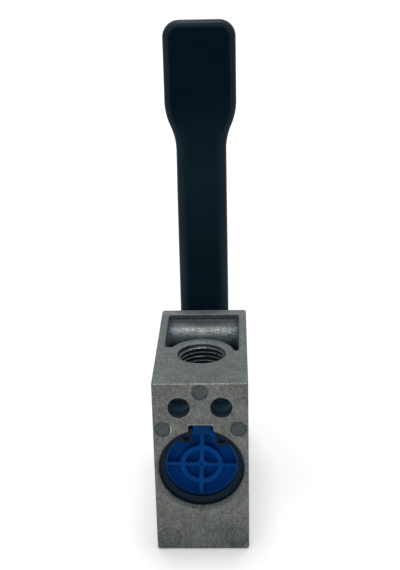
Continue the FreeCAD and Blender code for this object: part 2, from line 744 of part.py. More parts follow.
def bored_holes(body):
    """The stepped bore, its ring grooves and the key notch."""
    sketch = across(body, "main_bore")
    circle(sketch, 0.0, BORE_HEIGHT, D.bore_radius)
    bore = pocket(body, sketch, BORE_DEPTH)

    def mouth(edge):
        return is_mouth(edge, "Y", 0.0, D.bore_radius)

    chamfer_edges(body, bore, mouth, D.bore_chamfer)
    sketch = across(body, "ring_groove", D.ring_setback)
    circle(sketch, 0.0, BORE_HEIGHT, D.bore_radius + D.ring_groove_reach)
    pocket(body, sketch, D.ring_thickness + D.ring_groove_play)

    half = D.notch_width / 2
    top = BORE_HEIGHT + D.notch_top
    round_start = top - D.notch_corner
    sketch = across(body, "key_notch")
    outline(sketch, [(-half, BORE_HEIGHT + D.bore_radius / 2), (half, BORE_HEIGHT + D.bore_radius / 2),
                     (half, round_start), (half - D.notch_corner, top, D.notch_corner, 1),
                     (D.notch_corner - half, top), (-half, round_start, D.notch_corner, 1)])
    pocket(body, sketch, D.notch_depth)

    sketch = across(body, "rear_bore", REAR_BORE_START)
    circle(sketch, 0.0, BORE_HEIGHT, D.rear_bore_radius)
    pocket(body, sketch, BODY_DEPTH + D.ear_root - REAR_BORE_START)
    sketch = across(body, "rear_ring_groove", REAR_RING_FRONT - D.ring_groove_play / 2)
    circle(sketch, 0.0, BORE_HEIGHT, D.rear_bore_radius + D.rear_groove_reach)
    pocket(body, sketch, D.rear_ring_thickness + D.ring_groove_play)
    sketch = across(body, "rod_hole", BORE_DEPTH)
    circle(sketch, 0.0, BORE_HEIGHT, D.rod_radius + D.rod_clearance)
    pocket(body, sketch, REAR_BORE_START - BORE_DEPTH)


def port(body, name, station, face, backwards):
    """A port in the top or base face with its passage into the bore."""
    inward = 1 if backwards else -1
    floor = face + PORT_DEPTH * inward
    sketch = from_above(body, name, face)
    circle(sketch, 0.0, station, D.port_radius)
    hole = pocket(body, sketch, PORT_DEPTH, backwards=backwards)

    def mouth(edge):
        return is_mouth(edge, "Z", face, D.port_radius)

    chamfer_edges(body, hole, mouth, D.port_chamfer)
    sketch = from_above(body, name + "_passage", floor)
    circle(sketch, 0.0, station, D.passage_radius)
    pocket(body, sketch, BORE_HEIGHT - D.bore_radius / 2 - PORT_DEPTH, backwards=backwards)


def ports(body):
    port(body, "delivery_port", D.port_station, D.body_height, False)
    port(body, "supply_port", D.supply_station, as_size(0.0), True)
    sketch = from_above(body, "strainer_seat", PORT_DEPTH)
    circle(sketch, 0.0, D.supply_station, D.strainer_radius)
    pocket(body, sketch, D.strainer_height + D.seat_gap * 2, backwards=True)
    sketch = from_above(body, "vent", D.pocket_depth)
    circle(sketch, 0.0, REAR_BORE_START + D.vent_setback, D.vent_radius)
    pocket(body, sketch, BORE_HEIGHT - D.rear_bore_radius / 2 - D.pocket_depth, backwards=True)


def front_face_details(body):
    sketch = across(body, "blind_holes")
    for side in (-1, 1):
        circle(sketch, D.blind_spacing / 2 * side, D.body_height - D.blind_drop, D.blind_radius)
    pocket(body, sketch, D.blind_depth)
    sketch = across(body, "ejector_marks")
    circle(sketch, 0.0, D.body_height - D.top_mark_drop, D.small_mark_radius)
    for side in (-1, 1):
        circle(sketch, D.side_mark_offset * side, BORE_HEIGHT + D.side_mark_rise, D.small_mark_radius)
        circle(sketch, D.low_mark_offset * side, D.low_mark_rise, D.large_mark_radius)
    pocket(body, sketch, D.mark_depth)


def hinge_ears(body):
    low = PIVOT_HEIGHT - D.ear_radius
    high = PIVOT_HEIGHT + D.ear_radius
    root = BODY_DEPTH - D.rear_wall / 2
    for side, name in ((-1, "left_ear"), (1, "right_ear")):
        sketch = from_side(body, name, EAR_INSIDE * side)
        outline(sketch, [(root, low), (PIVOT_STATION, low),
                         (PIVOT_STATION + D.ear_radius, PIVOT_HEIGHT, D.ear_radius, 1),
                         (PIVOT_STATION, high, D.ear_radius, 1), (root, high)])
        ear = pad(body, sketch, D.ear_thickness, backwards=side < 0)

    def on_side(edge):
        box = edge.BoundBox
        on_face = any(near(abs(box.Center.x), face) for face in (EAR_INSIDE, EAR_OUTSIDE))
        return flat(box.XLength) and on_face and box.YMax > (BODY_DEPTH + D.ear_root).number

    rounded = round_edges(body, ear, on_side, D.ear_edge)

    def at_root(edge):
        box = edge.BoundBox
        level = flat(box.ZLength) and near(box.XLength, D.ear_thickness - D.ear_edge * 2)
        return level and near(box.Center.y, BODY_DEPTH)

    round_edges(body, rounded, at_root, D.ear_root)
    sketch = from_side(body, "pin_holes")
    circle(sketch, PIVOT_STATION, PIVOT_HEIGHT, D.pin_radius + D.pin_clearance)
    pocket(body, sketch, D.body_width * 2, symmetric=True)


def make_valve_body():
    body = new_body("valve_body")
    block_with_rounded_edges(body)
    cast_pockets(body)
    cross_bosses(body)
    hinge_ears(body)
    bored_holes(body)
    ports(body)
    front_face_details(body)


# Pieces that close the front of the bore
def make_end_cap():
    outside = D.bore_radius - D.fit_gap
    groove_floor = D.bore_radius - D.seal_gap * 2 - D.cap_seal_radius * 2
    groove_front = D.cap_seal_station - D.cap_seal_radius - D.groove_play
    groove_rear = D.cap_seal_station + D.cap_seal_radius + D.groove_play
    post_floor = D.post_radius + D.post_seal_proud - D.post_seal_radius * 2 - D.seal_gap
    post_front = D.post_seal_station - D.post_seal_radius - D.groove_play
    post_rear = D.post_seal_station + D.post_seal_radius + D.groove_play
    flange = RING_BACK + D.seat_gap
    body = turned_piece("end_cap", [
        (0.0, D.rib_setback), (D.rim_radius, D.rib_setback), (D.rim_radius, flange), (outside, flange),
        (outside, groove_front), (groove_floor, groove_front), (groove_floor, groove_rear),
        (outside, groove_rear), (outside, D.skirt_end), (D.skirt_inner_radius, D.skirt_end),
        (D.skirt_inner_radius, WEB_STATION), (D.post_radius, WEB_STATION), (D.post_radius, post_front),
        (post_floor, post_front), (post_floor, post_rear), (D.post_radius, post_rear),
        (D.post_radius, D.post_end), (0.0, D.post_end)], turn=D.cap_turn)

    rim_inside = D.rim_radius - D.rim_width
    sketch = across(body, "cap_recess", D.rib_setback)
    circle(sketch, 0.0, 0.0, rim_inside)
    pocket(body, sketch, D.rib_height)
    sketch = across(body, "cap_ring_rib", RECESS_STATION)
    circle(sketch, 0.0, 0.0, D.hub_rib_radius)
    circle(sketch, 0.0, 0.0, D.hub_rib_radius - D.hub_rib_width)
    pad(body, sketch, D.rib_height)
    reach = D.rim_radius - D.rim_width / 2
    sketch = across(body, "cap_level_rib", RECESS_STATION)
    rectangle(sketch, -reach, D.level_rib / -2, reach, D.level_rib / 2)
    pad(body, sketch, D.rib_height)
    sketch = across(body, "cap_upright_rib", RECESS_STATION)
    rectangle(sketch, D.upright_rib / -2, -reach, D.upright_rib / 2, reach)
    ribs = pad(body, sketch, D.rib_height)

    def along_bore(edge):
        box = edge.BoundBox
        return near(box.YLength, D.rib_height) and flat(box.XLength) and flat(box.ZLength)

    def at_crossing(edge, height):
        box = edge.BoundBox
        beside = near(abs(box.Center.x), D.upright_rib / 2)
        return along_bore(edge) and beside and near(box.Center.z, height)

    def at_ring_rib(edge):
        from_axis = math.hypot(edge.BoundBox.Center.x, edge.BoundBox.Center.z)
        inside = D.hub_rib_radius - D.hub_rib_width
        return along_bore(edge) and (near(from_axis, D.hub_rib_radius) or near(from_axis, inside))

    ribs = round_edges(body, ribs, lambda edge: at_crossing(edge, D.level_rib / 2), D.upper_rib_blend)
    ribs = round_edges(body, ribs, lambda edge: at_crossing(edge, D.level_rib / -2), D.rib_blend)
    round_edges(body, ribs, at_ring_rib, D.ring_rib_blend)
    sketch = across(body, "cap_lug_pads", RECESS_STATION)
    pad_circle = D.lug_circle - D.lug_pad_shift
    for side in (-1, 1):
        circle(sketch, pad_circle * sine(D.lug_half_angle) * side, pad_circle * cosine(D.lug_half_angle),
               outside - D.seat_gap - pad_circle)
    pad(body, sketch, D.rib_height)
    sketch = across(body, "cap_gate", D.rib_setback)
    circle(sketch, 0.0, 0.0, D.gate_radius)
    pocket(body, sketch, D.gate_depth)

    half = D.tab_width / 2
    sketch = across(body, "cap_tab", RECESS_STATION)
    outline(sketch, [(-half, D.tab_bottom), (half, D.tab_bottom), (half, D.tab_top - D.tab_corner),
                     (half - D.tab_corner, D.tab_top, D.tab_corner, 1), (D.tab_corner - half, D.tab_top),
                     (-half, D.tab_top - D.tab_corner, D.tab_corner, 1)])
    pad(body, sketch, RECESS_STATION - D.tab_setback)


def make_front_pieces():
    make_end_cap()
    o_ring("end_cap_o_ring", D.bore_radius - D.seal_gap - D.cap_seal_radius, D.cap_seal_station,
           D.cap_seal_radius)
    lug = (D.lug_circle, D.lug_half_angle, D.lug_radius, D.lug_hole_radius, D.lug_flat * -1)
    retaining_ring("retaining_ring", D.ring_setback, D.ring_thickness,
                   D.bore_radius + D.ring_groove_reach - D.fit_gap, D.ring_inner_radius,
                   D.ring_eccentricity, lug, turn=D.ring_turn, blend=D.lug_blend)
    o_ring("poppet_post_seal", D.post_radius + D.post_seal_proud - D.post_seal_radius,
           D.post_seal_station, D.post_seal_radius)


# Seat sleeve with its outer channels and windows
def make_seat_sleeve():
    outside = D.bore_radius - D.fit_gap
    front = D.skirt_end + D.fit_gap
    groove_floor = D.bore_radius - D.seal_gap * 2 - D.sleeve_seal_radius * 2
    groove_front = D.sleeve_seal_station - D.sleeve_seal_radius - D.groove_play
    groove_rear = D.sleeve_seal_station + D.sleeve_seal_radius + D.groove_play
    web_rear = D.seat_station + D.seat_web
    lip = D.seat_opening + D.lip_width
    body = turned_piece("seat_sleeve", [
        (D.chamber_radius, front), (outside, front), (outside, D.supply_channel_start),
        (D.annulus_radius, D.supply_channel_start), (D.annulus_radius, D.supply_channel_end),
        (outside, D.supply_channel_end), (outside, groove_front), (groove_floor, groove_front),
        (groove_floor, groove_rear), (outside, groove_rear), (outside, D.delivery_channel_start),
        (D.annulus_radius, D.delivery_channel_start), (D.annulus_radius, D.delivery_channel_end),
        (outside, D.delivery_channel_end), (outside, SLEEVE_REAR), (D.delivery_radius, SLEEVE_REAR),
        (D.delivery_radius, web_rear), (D.seat_opening, web_rear), (D.seat_opening, LIP_STATION),
        (lip, LIP_STATION), (lip, D.seat_station), (D.chamber_radius, D.seat_station)])
    windows = (("supply_windows", D.supply_channel_start, D.supply_channel_end, D.supply_window),
               ("delivery_windows", D.delivery_channel_start, D.delivery_channel_end, D.delivery_window))
    for name, start, end, radius in windows:
        sketch = from_above(body, name)
        circle(sketch, 0.0, (start + end) / 2, radius)
        cut = pocket(body, sketch, D.bore_radius * 2, symmetric=True)
        polar_copies(body, cut, "Y_Axis", 3, 120)
    o_ring("sleeve_o_ring", D.bore_radius - D.seal_gap - D.sleeve_seal_radius, D.sleeve_seal_station,
           D.sleeve_seal_radius)


# Poppet
def make_poppet():
    hollow = D.post_radius + D.poppet_slide_gap
    rubber_front = RUBBER_STATION - D.poppet_rubber_thickness
    rubber_seat = D.poppet_rubber_radius + D.seat_gap
    turned_piece("poppet", [
        (0.0, D.poppet_floor), (hollow, D.poppet_floor), (hollow, D.poppet_tube_start),
        (D.poppet_tube_radius, D.poppet_tube_start), (D.poppet_tube_radius, D.poppet_disc_start),
        (D.poppet_disc_radius, D.poppet_disc_start), (D.poppet_disc_radius, rubber_front + D.poppet_rim),
        (rubber_seat, rubber_front + D.poppet_rim), (rubber_seat, rubber_front), (0.0, rubber_front)])
    turned_piece("poppet_seal", [
        (0.0, rubber_front + D.seat_gap), (D.poppet_rubber_radius, rubber_front + D.seat_gap),
        (D.poppet_rubber_radius, RUBBER_STATION), (0.0, RUBBER_STATION)])
    coil_spring("poppet_spring", D.poppet_mean, D.poppet_wire, WEB_STATION + D.spring_gap,
                D.poppet_disc_start - D.spring_gap, D.poppet_turns)


# Tappet with its button, spring and guide
def make_tappet():
    rod = D.rod_radius
    groove_floor = rod - D.rod_seal_radius * 2
    groove_front = ROD_SEAL_STATION - D.rod_seal_radius - D.groove_play
    groove_rear = ROD_SEAL_STATION + D.rod_seal_radius + D.groove_play
    nose_end = NOSE_STATION + D.nose_length
    exhaust_end = OUTLET_STATION + D.exhaust_reach
    body = turned_piece("tappet", [
        (D.exhaust_radius, NOSE_STATION), (D.nose_radius, NOSE_STATION), (D.nose_radius, nose_end),
        (rod, nose_end + (rod - D.nose_radius)), (rod, groove_front), (groove_floor, groove_front),
        (groove_floor, groove_rear), (rod, groove_rear), (rod, COLLAR_START),
        (D.collar_radius, COLLAR_START), (D.collar_radius, COLLAR_END), (D.tail_radius, COLLAR_END),
        (D.tail_radius, TAIL_END), (D.exhaust_radius, TAIL_END),
        (D.exhaust_radius, TAIL_END - D.button_stem), (0.0, TAIL_END - D.button_stem),
        (0.0, exhaust_end), (D.exhaust_radius, exhaust_end)])
    sketch = from_above(body, "outlet")
    circle(sketch, 0.0, OUTLET_STATION, D.outlet_radius)
    pocket(body, sketch, rod * 3, symmetric=True)
    o_ring("tappet_o_ring", rod + D.rod_clearance - D.seal_gap - D.rod_seal_radius, ROD_SEAL_STATION,
           D.rod_seal_radius)
    head_front = TAIL_END + D.seat_gap
    stem = D.exhaust_radius - D.fit_gap
    edge = D.button_radius - D.button_chamfer
    turned_piece("thrust_button", [
        (0.0, TAIL_END - D.button_stem + D.fit_gap), (stem, TAIL_END - D.button_stem + D.fit_gap),
        (stem, head_front), (D.button_radius, head_front),
        (D.button_radius, BUTTON_FACE - D.button_chamfer), (edge, BUTTON_FACE), (0.0, BUTTON_FACE)])


def make_rear_pieces():
    inside = D.tail_radius + D.tail_clearance
    outside = D.rear_bore_radius - D.fit_gap
    turned_piece("tappet_guide", [
        (inside, GUIDE_FRONT), (outside, GUIDE_FRONT), (outside, GUIDE_REAR), (inside, GUIDE_REAR)])
    lip = inside + D.wiper_gap
    turned_piece("tappet_wiper", [
        (lip, WIPER_FRONT + D.wiper_thickness / 2), (lip + D.wiper_front_flare, WIPER_FRONT),
        (outside, WIPER_FRONT), (outside, WIPER_REAR), (lip + D.wiper_rear_flare, WIPER_REAR),
        (lip, WIPER_REAR - D.wiper_lip_slope)])
    lug = (D.rear_lug_circle, D.rear_lug_half_angle, D.rear_lug_radius, D.rear_lug_hole_radius,
           D.rear_lug_join)
    retaining_ring("guide_retaining_ring", REAR_RING_FRONT, D.rear_ring_thickness,
                   D.rear_bore_radius + D.rear_groove_reach - D.fit_gap, D.rear_ring_inner_radius,
                   D.rear_ring_eccentricity, lug)
    washer_hole = D.rod_radius + D.washer_clearance
    turned_piece("spring_washer", [
        (washer_hole, WASHER_FRONT), (D.collar_radius, WASHER_FRONT),
        (D.collar_radius, WASHER_REAR), (washer_hole, WASHER_REAR)])
    spring_start = WASHER_REAR + D.spring_gap
    coil_spring("return_spring", D.return_mean, D.return_wire, spring_start,
                spring_start + D.return_length, D.return_turns)


# Hinge pin, clips and bushes
def piece_on_pin(label):
    return new_body(label, station=FRONT_FACE + PIVOT_STATION, height=PIVOT_HEIGHT)


def make_pin():
    groove_start = EAR_OUTSIDE + D.fit_gap
    groove_end = groove_start + D.clip_thickness + D.fit_gap
    end = groove_end + D.pin_end
    point = D.pin_end / 2
    body = piece_on_pin("pivot_pin")
    sketch = from_above(body, "pin_profile")
    right = [(groove_start, D.pin_radius), (groove_start, D.clip_groove_radius),
             (groove_end, D.clip_groove_radius), (groove_end, D.pin_radius),
             (end - point, D.pin_radius), (end, D.pin_radius - point)]
    left = [(-x, radius) for x, radius in reversed(right)]
    outline(sketch, right + [(end, 0.0), (-end, 0.0)] + left)
    revolve(body, sketch, "H_Axis")
    for side, name in ((-1, "pin_clip_left"), (1, "pin_clip_right")):
        body = piece_on_pin(name)
        inner_face = groove_start + D.seat_gap if side > 0 else -groove_start - D.seat_gap
        sketch = from_side(body, name + "_ring", inner_face)
        circle(sketch, 0.0, 0.0, D.clip_radius)
        circle(sketch, 0.0, 0.0, D.clip_groove_radius + D.seat_gap)
        pad(body, sketch, D.clip_thickness, backwards=side < 0)
        sketch = from_side(body, name + "_mouth")
        rectangle(sketch, D.clip_opening / -2, D.clip_radius * -2, D.clip_opening / 2, 0.0)
        pocket(body, sketch, D.body_width * 2, symmetric=True)


def make_bushes():
    hole = D.pin_radius + D.bush_clearance
    wall = hole + D.bush_wall
    flange_outside = D.shaft_width / 2 + D.bush_proud
    flange_inside = flange_outside - D.bush_flange
    inner_end = flange_inside - D.bush_length
    for side, name in ((-1, "lever_bush_left"), (1, "lever_bush_right")):
        body = piece_on_pin(name)
        sketch = from_above(body, name + "_profile")
        outline(sketch, [
            (inner_end * side, hole), (flange_outside * side, hole),
            (flange_outside * side, D.bush_flange_radius), (flange_inside * side, D.bush_flange_radius),
            (flange_inside * side, wall), (inner_end * side, wall)])
        revolve(body, sketch, "H_Axis")


# Lever
def swing_radius(run, shift):
    """Radius of an arc that leaves a straight edge smoothly and shifts sideways along a run."""
    return (run * run + shift * shift) / (shift * 2)


def lever_side_outline(sketch):
    """Side view of shaft and paddle. The pivot is the origin, the front is towards -Y."""
    front = D.hub_offset - D.hub_radius
    rear = front + D.shaft_thickness
    run = D.bend_radius * sine(D.bend_angle)
    step = D.bend_radius * (1 - cosine(D.bend_angle))
    middle = D.bend_start + run
    bend_end = D.bend_start + run * 2
    paddle_front = front + step * 2
    thinner = (D.shaft_thickness - D.paddle_thickness) / 2
    paddle_rear = paddle_front + D.paddle_thickness
    root_radius = swing_radius(D.root_rise + D.hub_offset, D.root_thickness - D.shaft_thickness)
    rear_radius = swing_radius(run, step - thinner)
    outline(sketch, [
        (front, -D.hub_offset), (front + D.root_thickness, -D.hub_offset),
        (rear, D.root_rise, root_radius, -1), (rear, D.bend_start),
        (rear + step - thinner, middle, rear_radius, -1), (paddle_rear, bend_end, rear_radius, 1),
        (paddle_rear, LEVER_LENGTH), (paddle_front, LEVER_LENGTH), (paddle_front, bend_end),
        (front + step, middle, D.bend_radius, -1), (front, D.bend_start, D.bend_radius, 1)])


def lever_waste_outline(sketch, side):
    """What is cut away beside the shaft so that the paddle flares out of it."""
    shaft = D.shaft_width / 2
    paddle = D.paddle_width / 2
    flare_radius = (paddle - shaft) / 2 / (1 - cosine(D.flare_angle))
    rise = flare_radius * sine(D.flare_angle)
    flare_end = LEVER_LENGTH - D.paddle_length
    margin = D.paddle_corner
    low = -D.hub_radius * 2
    outline(sketch, [
        (shaft * side, low), (shaft * side, flare_end - rise * 2),
        ((shaft + paddle) / 2 * side, flare_end - rise, flare_radius, -side),
        (paddle * side, flare_end, flare_radius, side),
        (paddle * side, LEVER_LENGTH - D.paddle_corner),
        ((paddle - D.paddle_corner) * side, LEVER_LENGTH, D.paddle_corner, side),
        ((paddle - D.paddle_corner) * side, LEVER_LENGTH + margin),
        ((paddle + margin) * side, LEVER_LENGTH + margin), ((paddle + margin) * side, low)])


def make_lever():
    body = piece_on_pin("lever")
    sketch = from_side(body, "lever_side")
    lever_side_outline(sketch)
    pad(body, sketch, D.paddle_width, symmetric=True)
    for side, name in ((-1, "left_waste"), (1, "right_waste")):
        sketch = across(body, name)
        lever_waste_outline(sketch, side)
        blank = pocket(body, sketch, D.bend_radius, symmetric=True)

    def outer_edge(edge):
        box = edge.BoundBox
        over_top = near(box.ZMin, LEVER_LENGTH) and box.XLength > D.paddle_corner.number
        return over_top or box.ZLength > D.hub_edge.number

    round_edges(body, blank, outer_edge, D.lever_edge)
    sketch = from_side(body, "lever_hub")
    circle(sketch, D.hub_offset, -D.hub_offset, D.hub_radius)
    pad(body, sketch, D.shaft_width - D.hub_edge * 2, symmetric=True)
    for side, name in ((-1, "left_hub_edge"), (1, "right_hub_edge")):
        sketch = from_side(body, name, (D.shaft_width / 2 - D.hub_edge) * side)
        circle(sketch, D.hub_offset, -D.hub_offset, D.hub_radius)
        pad(body, sketch, D.hub_edge, backwards=side < 0, taper=-45.0)
    sketch = from_side(body, "bush_hole")
    circle(sketch, 0.0, 0.0, D.pin_radius + D.bush_clearance + D.bush_wall + D.seat_gap)
    pocket(body, sketch, D.shaft_width * 2, symmetric=True)
    for side, name in ((-1, "left_flange_seat"), (1, "right_flange_seat")):
        sketch = from_side(body, name, D.shaft_width / 2 * side)
        circle(sketch, 0.0, 0.0, D.bush_flange_radius + D.seat_gap)
        pocket(body, sketch, D.bush_flange - D.bush_proud + D.seat_gap, backwards=side < 0)


# Strainer in the supply port's passage
def make_strainer():
    body = DOCUMENT.addObject("PartDesign::Body", "supply_strainer")
    body.Label = "supply_strainer"
    bind(body, "Placement.Base.y", FRONT_FACE + D.supply_station)
    bind(body, "Placement.Base.z", PORT_DEPTH + D.seat_gap)
    outside = D.strainer_radius - D.fit_gap
    inside = outside - D.strainer_wall
    top = D.strainer_height
    under_top = top - D.strainer_wall
    sketch = new_sketch(body, "XZ_Plane", "strainer_profile")
    outline(sketch, [(inside, 0.0), (outside, 0.0), (outside, top), (0.0, top), (0.0, under_top),
                     (inside, under_top)])
    revolve(body, sketch)
    sketch = from_above(body, "strainer_middle_hole", top)
    circle(sketch, 0.0, 0.0, D.strainer_hole)
    pocket(body, sketch, D.strainer_wall)
    sketch = from_above(body, "strainer_holes", top)
    circle(sketch, D.strainer_circle, 0.0, D.strainer_hole)
    hole = pocket(body, sketch, D.strainer_wall)
    polar_copies(body, hole, "Z_Axis", 6, 360)


def check_document():
    """Stop if a feature failed or a cut took nothing away."""
    for item in DOCUMENT.Objects:
        if "Invalid" in item.State or "Error" in item.State:
            raise RuntimeError(f"{item.Name} is {item.State}")
        if item.TypeId == "PartDesign::Pocket":
            before = item.BaseFeature.Shape.Volume
            if item.Shape.Volume > before - 1e-6:
                raise RuntimeError(f"{item.Name} cuts nothing")


def write_parts():
    os.makedirs("parts", exist_ok=True)
    for body in DOCUMENT.findObjects("PartDesign::Body"):
        shape = body.Shape
        if shape.isNull() or not shape.isValid():
            raise RuntimeError(f"{body.Label} has no valid shape")
        shape.exportStep(f"parts/{body.Label}.step")
        box = shape.BoundBox
        print(f"{body.Label}: {len(shape.Solids)} solid, {shape.Volume / 1000:.3f} cm3, "
              f"Z {box.ZMin:.2f} to {box.ZMax:.2f}")


make_valve_body()
make_front_pieces()
make_seat_sleeve()
make_poppet()
make_tappet()
make_rear_pieces()
make_pin()
make_bushes()
make_lever()
make_strainer()
DOCUMENT.recompute()
check_document()
write_parts()
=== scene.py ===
# %% [markdown]
# # A small lever valve, dressed for its photograph
#
# The valve is a die cast block with a threaded port on top and another underneath. A blue plug
# closes the front of its bore, and a long black lever at the back works the rod inside. Its solids
# come from the CAD model, and they are right in shape, so nearly all of them stay. What they lack is
# the look of metal, plastic and rubber, the screw threads of the two ports, and springs coiled from
# wire. All of that is made here.
#
# The first cell loads the solids. Everything is in metres, on the CAD model's own axes: X goes
# across the block, Y from the blue plug to the lever, Z up, and the floor is at Z = 0.

# %% Load the solids and keep their box
import math

import bmesh
import bpy
from mathutils import Matrix, Vector


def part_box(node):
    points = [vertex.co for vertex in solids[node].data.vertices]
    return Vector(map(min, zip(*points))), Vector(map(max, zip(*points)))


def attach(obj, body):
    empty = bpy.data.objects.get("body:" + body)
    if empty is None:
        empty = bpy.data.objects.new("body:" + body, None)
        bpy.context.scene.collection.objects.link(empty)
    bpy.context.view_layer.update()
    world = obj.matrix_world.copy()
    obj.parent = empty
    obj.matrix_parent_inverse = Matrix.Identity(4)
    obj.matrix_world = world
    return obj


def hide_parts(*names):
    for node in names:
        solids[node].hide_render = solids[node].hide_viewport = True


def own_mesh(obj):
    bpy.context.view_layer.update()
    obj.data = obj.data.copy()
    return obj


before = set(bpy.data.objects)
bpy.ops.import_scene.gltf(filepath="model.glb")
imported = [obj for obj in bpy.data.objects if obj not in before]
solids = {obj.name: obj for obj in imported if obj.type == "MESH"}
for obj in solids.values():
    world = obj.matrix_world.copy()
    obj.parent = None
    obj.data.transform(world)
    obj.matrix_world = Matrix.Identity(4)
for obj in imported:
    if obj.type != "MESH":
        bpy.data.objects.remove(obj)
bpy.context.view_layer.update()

MM = 0.001
print("solids:", len(solids))

# %% [markdown]
# ## The camera
#
# The photographer stood in front of the blue plug, a little to its right, and looked down at about
# 21 degrees. The place and the angles below were solved from the corners of the block and the tip of
# the lever, so the camera is set from them directly. An empty to track would be quicker, but it
# can't give the slight roll of the picture.

# %% Camera
CAMERA_PLACE = Vector((11.653, -324.097, 204.772)) * MM
YAW, PITCH, ROLL = (math.radians(angle) for angle in (-2.0935, 20.883, -1.351))
LENS, SENSOR = 67.2, 36.0  # millimetres

forward = Vector((
    math.sin(YAW) * math.cos(PITCH), math.cos(YAW) * math.cos(PITCH), -math.sin(PITCH)))
level = Vector((math.cos(YAW), -math.sin(YAW), 0.0))
upward = level.cross(forward)
right = level * math.cos(ROLL) + upward * math.sin(ROLL)
top = upward * math.cos(ROLL) - level * math.sin(ROLL)

into_scene = bpy.context.scene.collection.objects.link
camera = bpy.data.objects.new("camera", bpy.data.cameras.new("camera"))
camera.data.lens, camera.data.sensor_width = LENS, SENSOR
turn = Matrix((right, top, -forward)).transposed().to_4x4()
camera.matrix_world = Matrix.Translation(CAMERA_PLACE) @ turn
camera.data.clip_start, camera.data.clip_end = 0.01, 20.0
into_scene(camera)
bpy.context.scene.camera = camera
print("camera looks down by", round(math.degrees(PITCH), 1), "degrees")

# %% [markdown]
# ## A short way to write materials
#
# A material is a tree of small nodes. Adding each one by hand takes four lines, which hides what the
# tree does. The bench below has one short call for each kind of node that is needed. Nearly every
# call gives back the node's output, so the calls read like sums. Much of the work is done by masks,
# which are numbers from 0 to 1 that say how far a finish holds at a place.

# %% Bench for building node trees
class Bench:
    """A node tree, with a short call for each kind of node used here."""

    def __init__(self, tree):
        self.tree = tree

    def feed(self, socket, value):
        """Joins an output to the socket, or sets the socket to a plain value."""
        if isinstance(value, bpy.types.NodeSocket):
            self.tree.links.new(value, socket)
        else:
            socket.default_value = value

    def add(self, kind, inputs=None, give=0, **settings):
        """Adds a node, sets it, feeds its inputs, and gives back one output."""
        node = self.tree.nodes.new("ShaderNode" + kind)
        for name, value in settings.items():
            setattr(node, name, value)
        for socket, value in (inputs or {}).items():
            self.feed(node.inputs[socket], value)
        return node.outputs[give]

    def group(self, tree, **inputs):
        """Places a node group and gives back its named outputs."""
        node = self.tree.nodes.new("ShaderNodeGroup")
        node.node_tree = tree
        for name, value in inputs.items():
            self.feed(node.inputs[name], value)
        return node.outputs

    def sum(self, operation, *values):
        """A sum on plain numbers, such as DIVIDE, taken from left to right."""
        total, *others = values
        for value in others:
            total = self.add("Math", {0: total, 1: value}, operation=operation)
        return total

    def product(self, *values):
        """The values multiplied. Of masks, it is where all of them hold."""
        return self.sum("MULTIPLY", *values)

    def most(self, *values):
        """The largest value. Of masks, it is where any of them holds."""
        return self.sum("MAXIMUM", *values)

    def less(self, value, taken):
        """The value with the second one taken away. 1 less a mask is where it doesn't hold."""
        return self.sum("SUBTRACT", value, taken)

    def size(self, value):
        """The value without its sign."""
        return self.add("Math", {0: value}, operation="ABSOLUTE")

    def vector(self, operation, *values, give=0):
        """One sum on vectors; give=1 asks for a sum whose answer is a number."""
        return self.add("VectorMath", dict(enumerate(values)), give=give, operation=operation)

    def axes(self, vector):
        """The vector's X, Y and Z."""
        return self.add("SeparateXYZ", {0: vector}).node.outputs[:]

    def ramp(self, value, start, end, low=0.0, high=1.0):
        """Runs smoothly from low to high while the value goes from start to end."""
        return self.add("MapRange", {
            "Value": value, "From Min": start, "From Max": end, "To Min": low, "To Max": high,
        }, interpolation_type="SMOOTHSTEP")

    def reach(self, length, start, end, low=0.0, high=1.0):
        """A ramp over a length, with start and end in millimetres."""
        return self.ramp(length, start * MM, end * MM, low, high)

    def band(self, length, start, full, fading, end):
        """1 from full to fading, and 0 before start and after end, all in millimetres."""
        return self.product(self.reach(length, start, full), self.reach(length, end, fading))

    def noise(self, place, size, detail=2.0, roughness=0.5, distortion=0.0):
        """Cloudy values round 0.5, with lumps about as large as size, in metres."""
        scale = 1.0 / size if isinstance(size, float) else self.sum("DIVIDE", 1.0, size)
        return self.add("TexNoise", {
            "Vector": place, "Scale": scale, "Detail": detail, "Roughness": roughness,
            "Distortion": distortion})

    def tint(self, amount, first, second):
        """Two colours mixed by the amount."""
        return self.add("Mix", {0: amount, 6: first, 7: second}, give=2, data_type="RGBA")

    def shaded(self, base, shade):
        """A colour made lighter or darker by the shade, which runs round 1."""
        return self.add("VectorMath", {
            0: base[:3] if isinstance(base, tuple) else base, "Scale": shade}, operation="SCALE")

    def blended(self, amount, first, second):
        """Two plain numbers mixed by the amount."""
        return self.add("Mix", {0: amount, 2: first, 3: second}, data_type="FLOAT")

    def relief(self, shader, strength, depth, height, edges=None):
        """Gives the shader a bump of that depth in millimetres, over rounded edges if it has them."""
        rounded = {"Normal": edges["Normal"]} if edges else {}
        self.feed(shader["Normal"], self.add("Bump", {
            "Strength": strength, "Distance": depth * MM, "Height": height, **rounded}))


print("calls on the bench:", sum(not name.startswith("_") for name in vars(Bench)))

# %% [markdown]
# ## Groups for what repeats
#
# Several finishes on this valve share an effect: the distance from a drilled axis, the pale wear
# along an edge, the grain of a casting, the rings that a lathe tool leaves. Each is a group with
# named inputs, so that it is built once and tuned wherever it is placed.

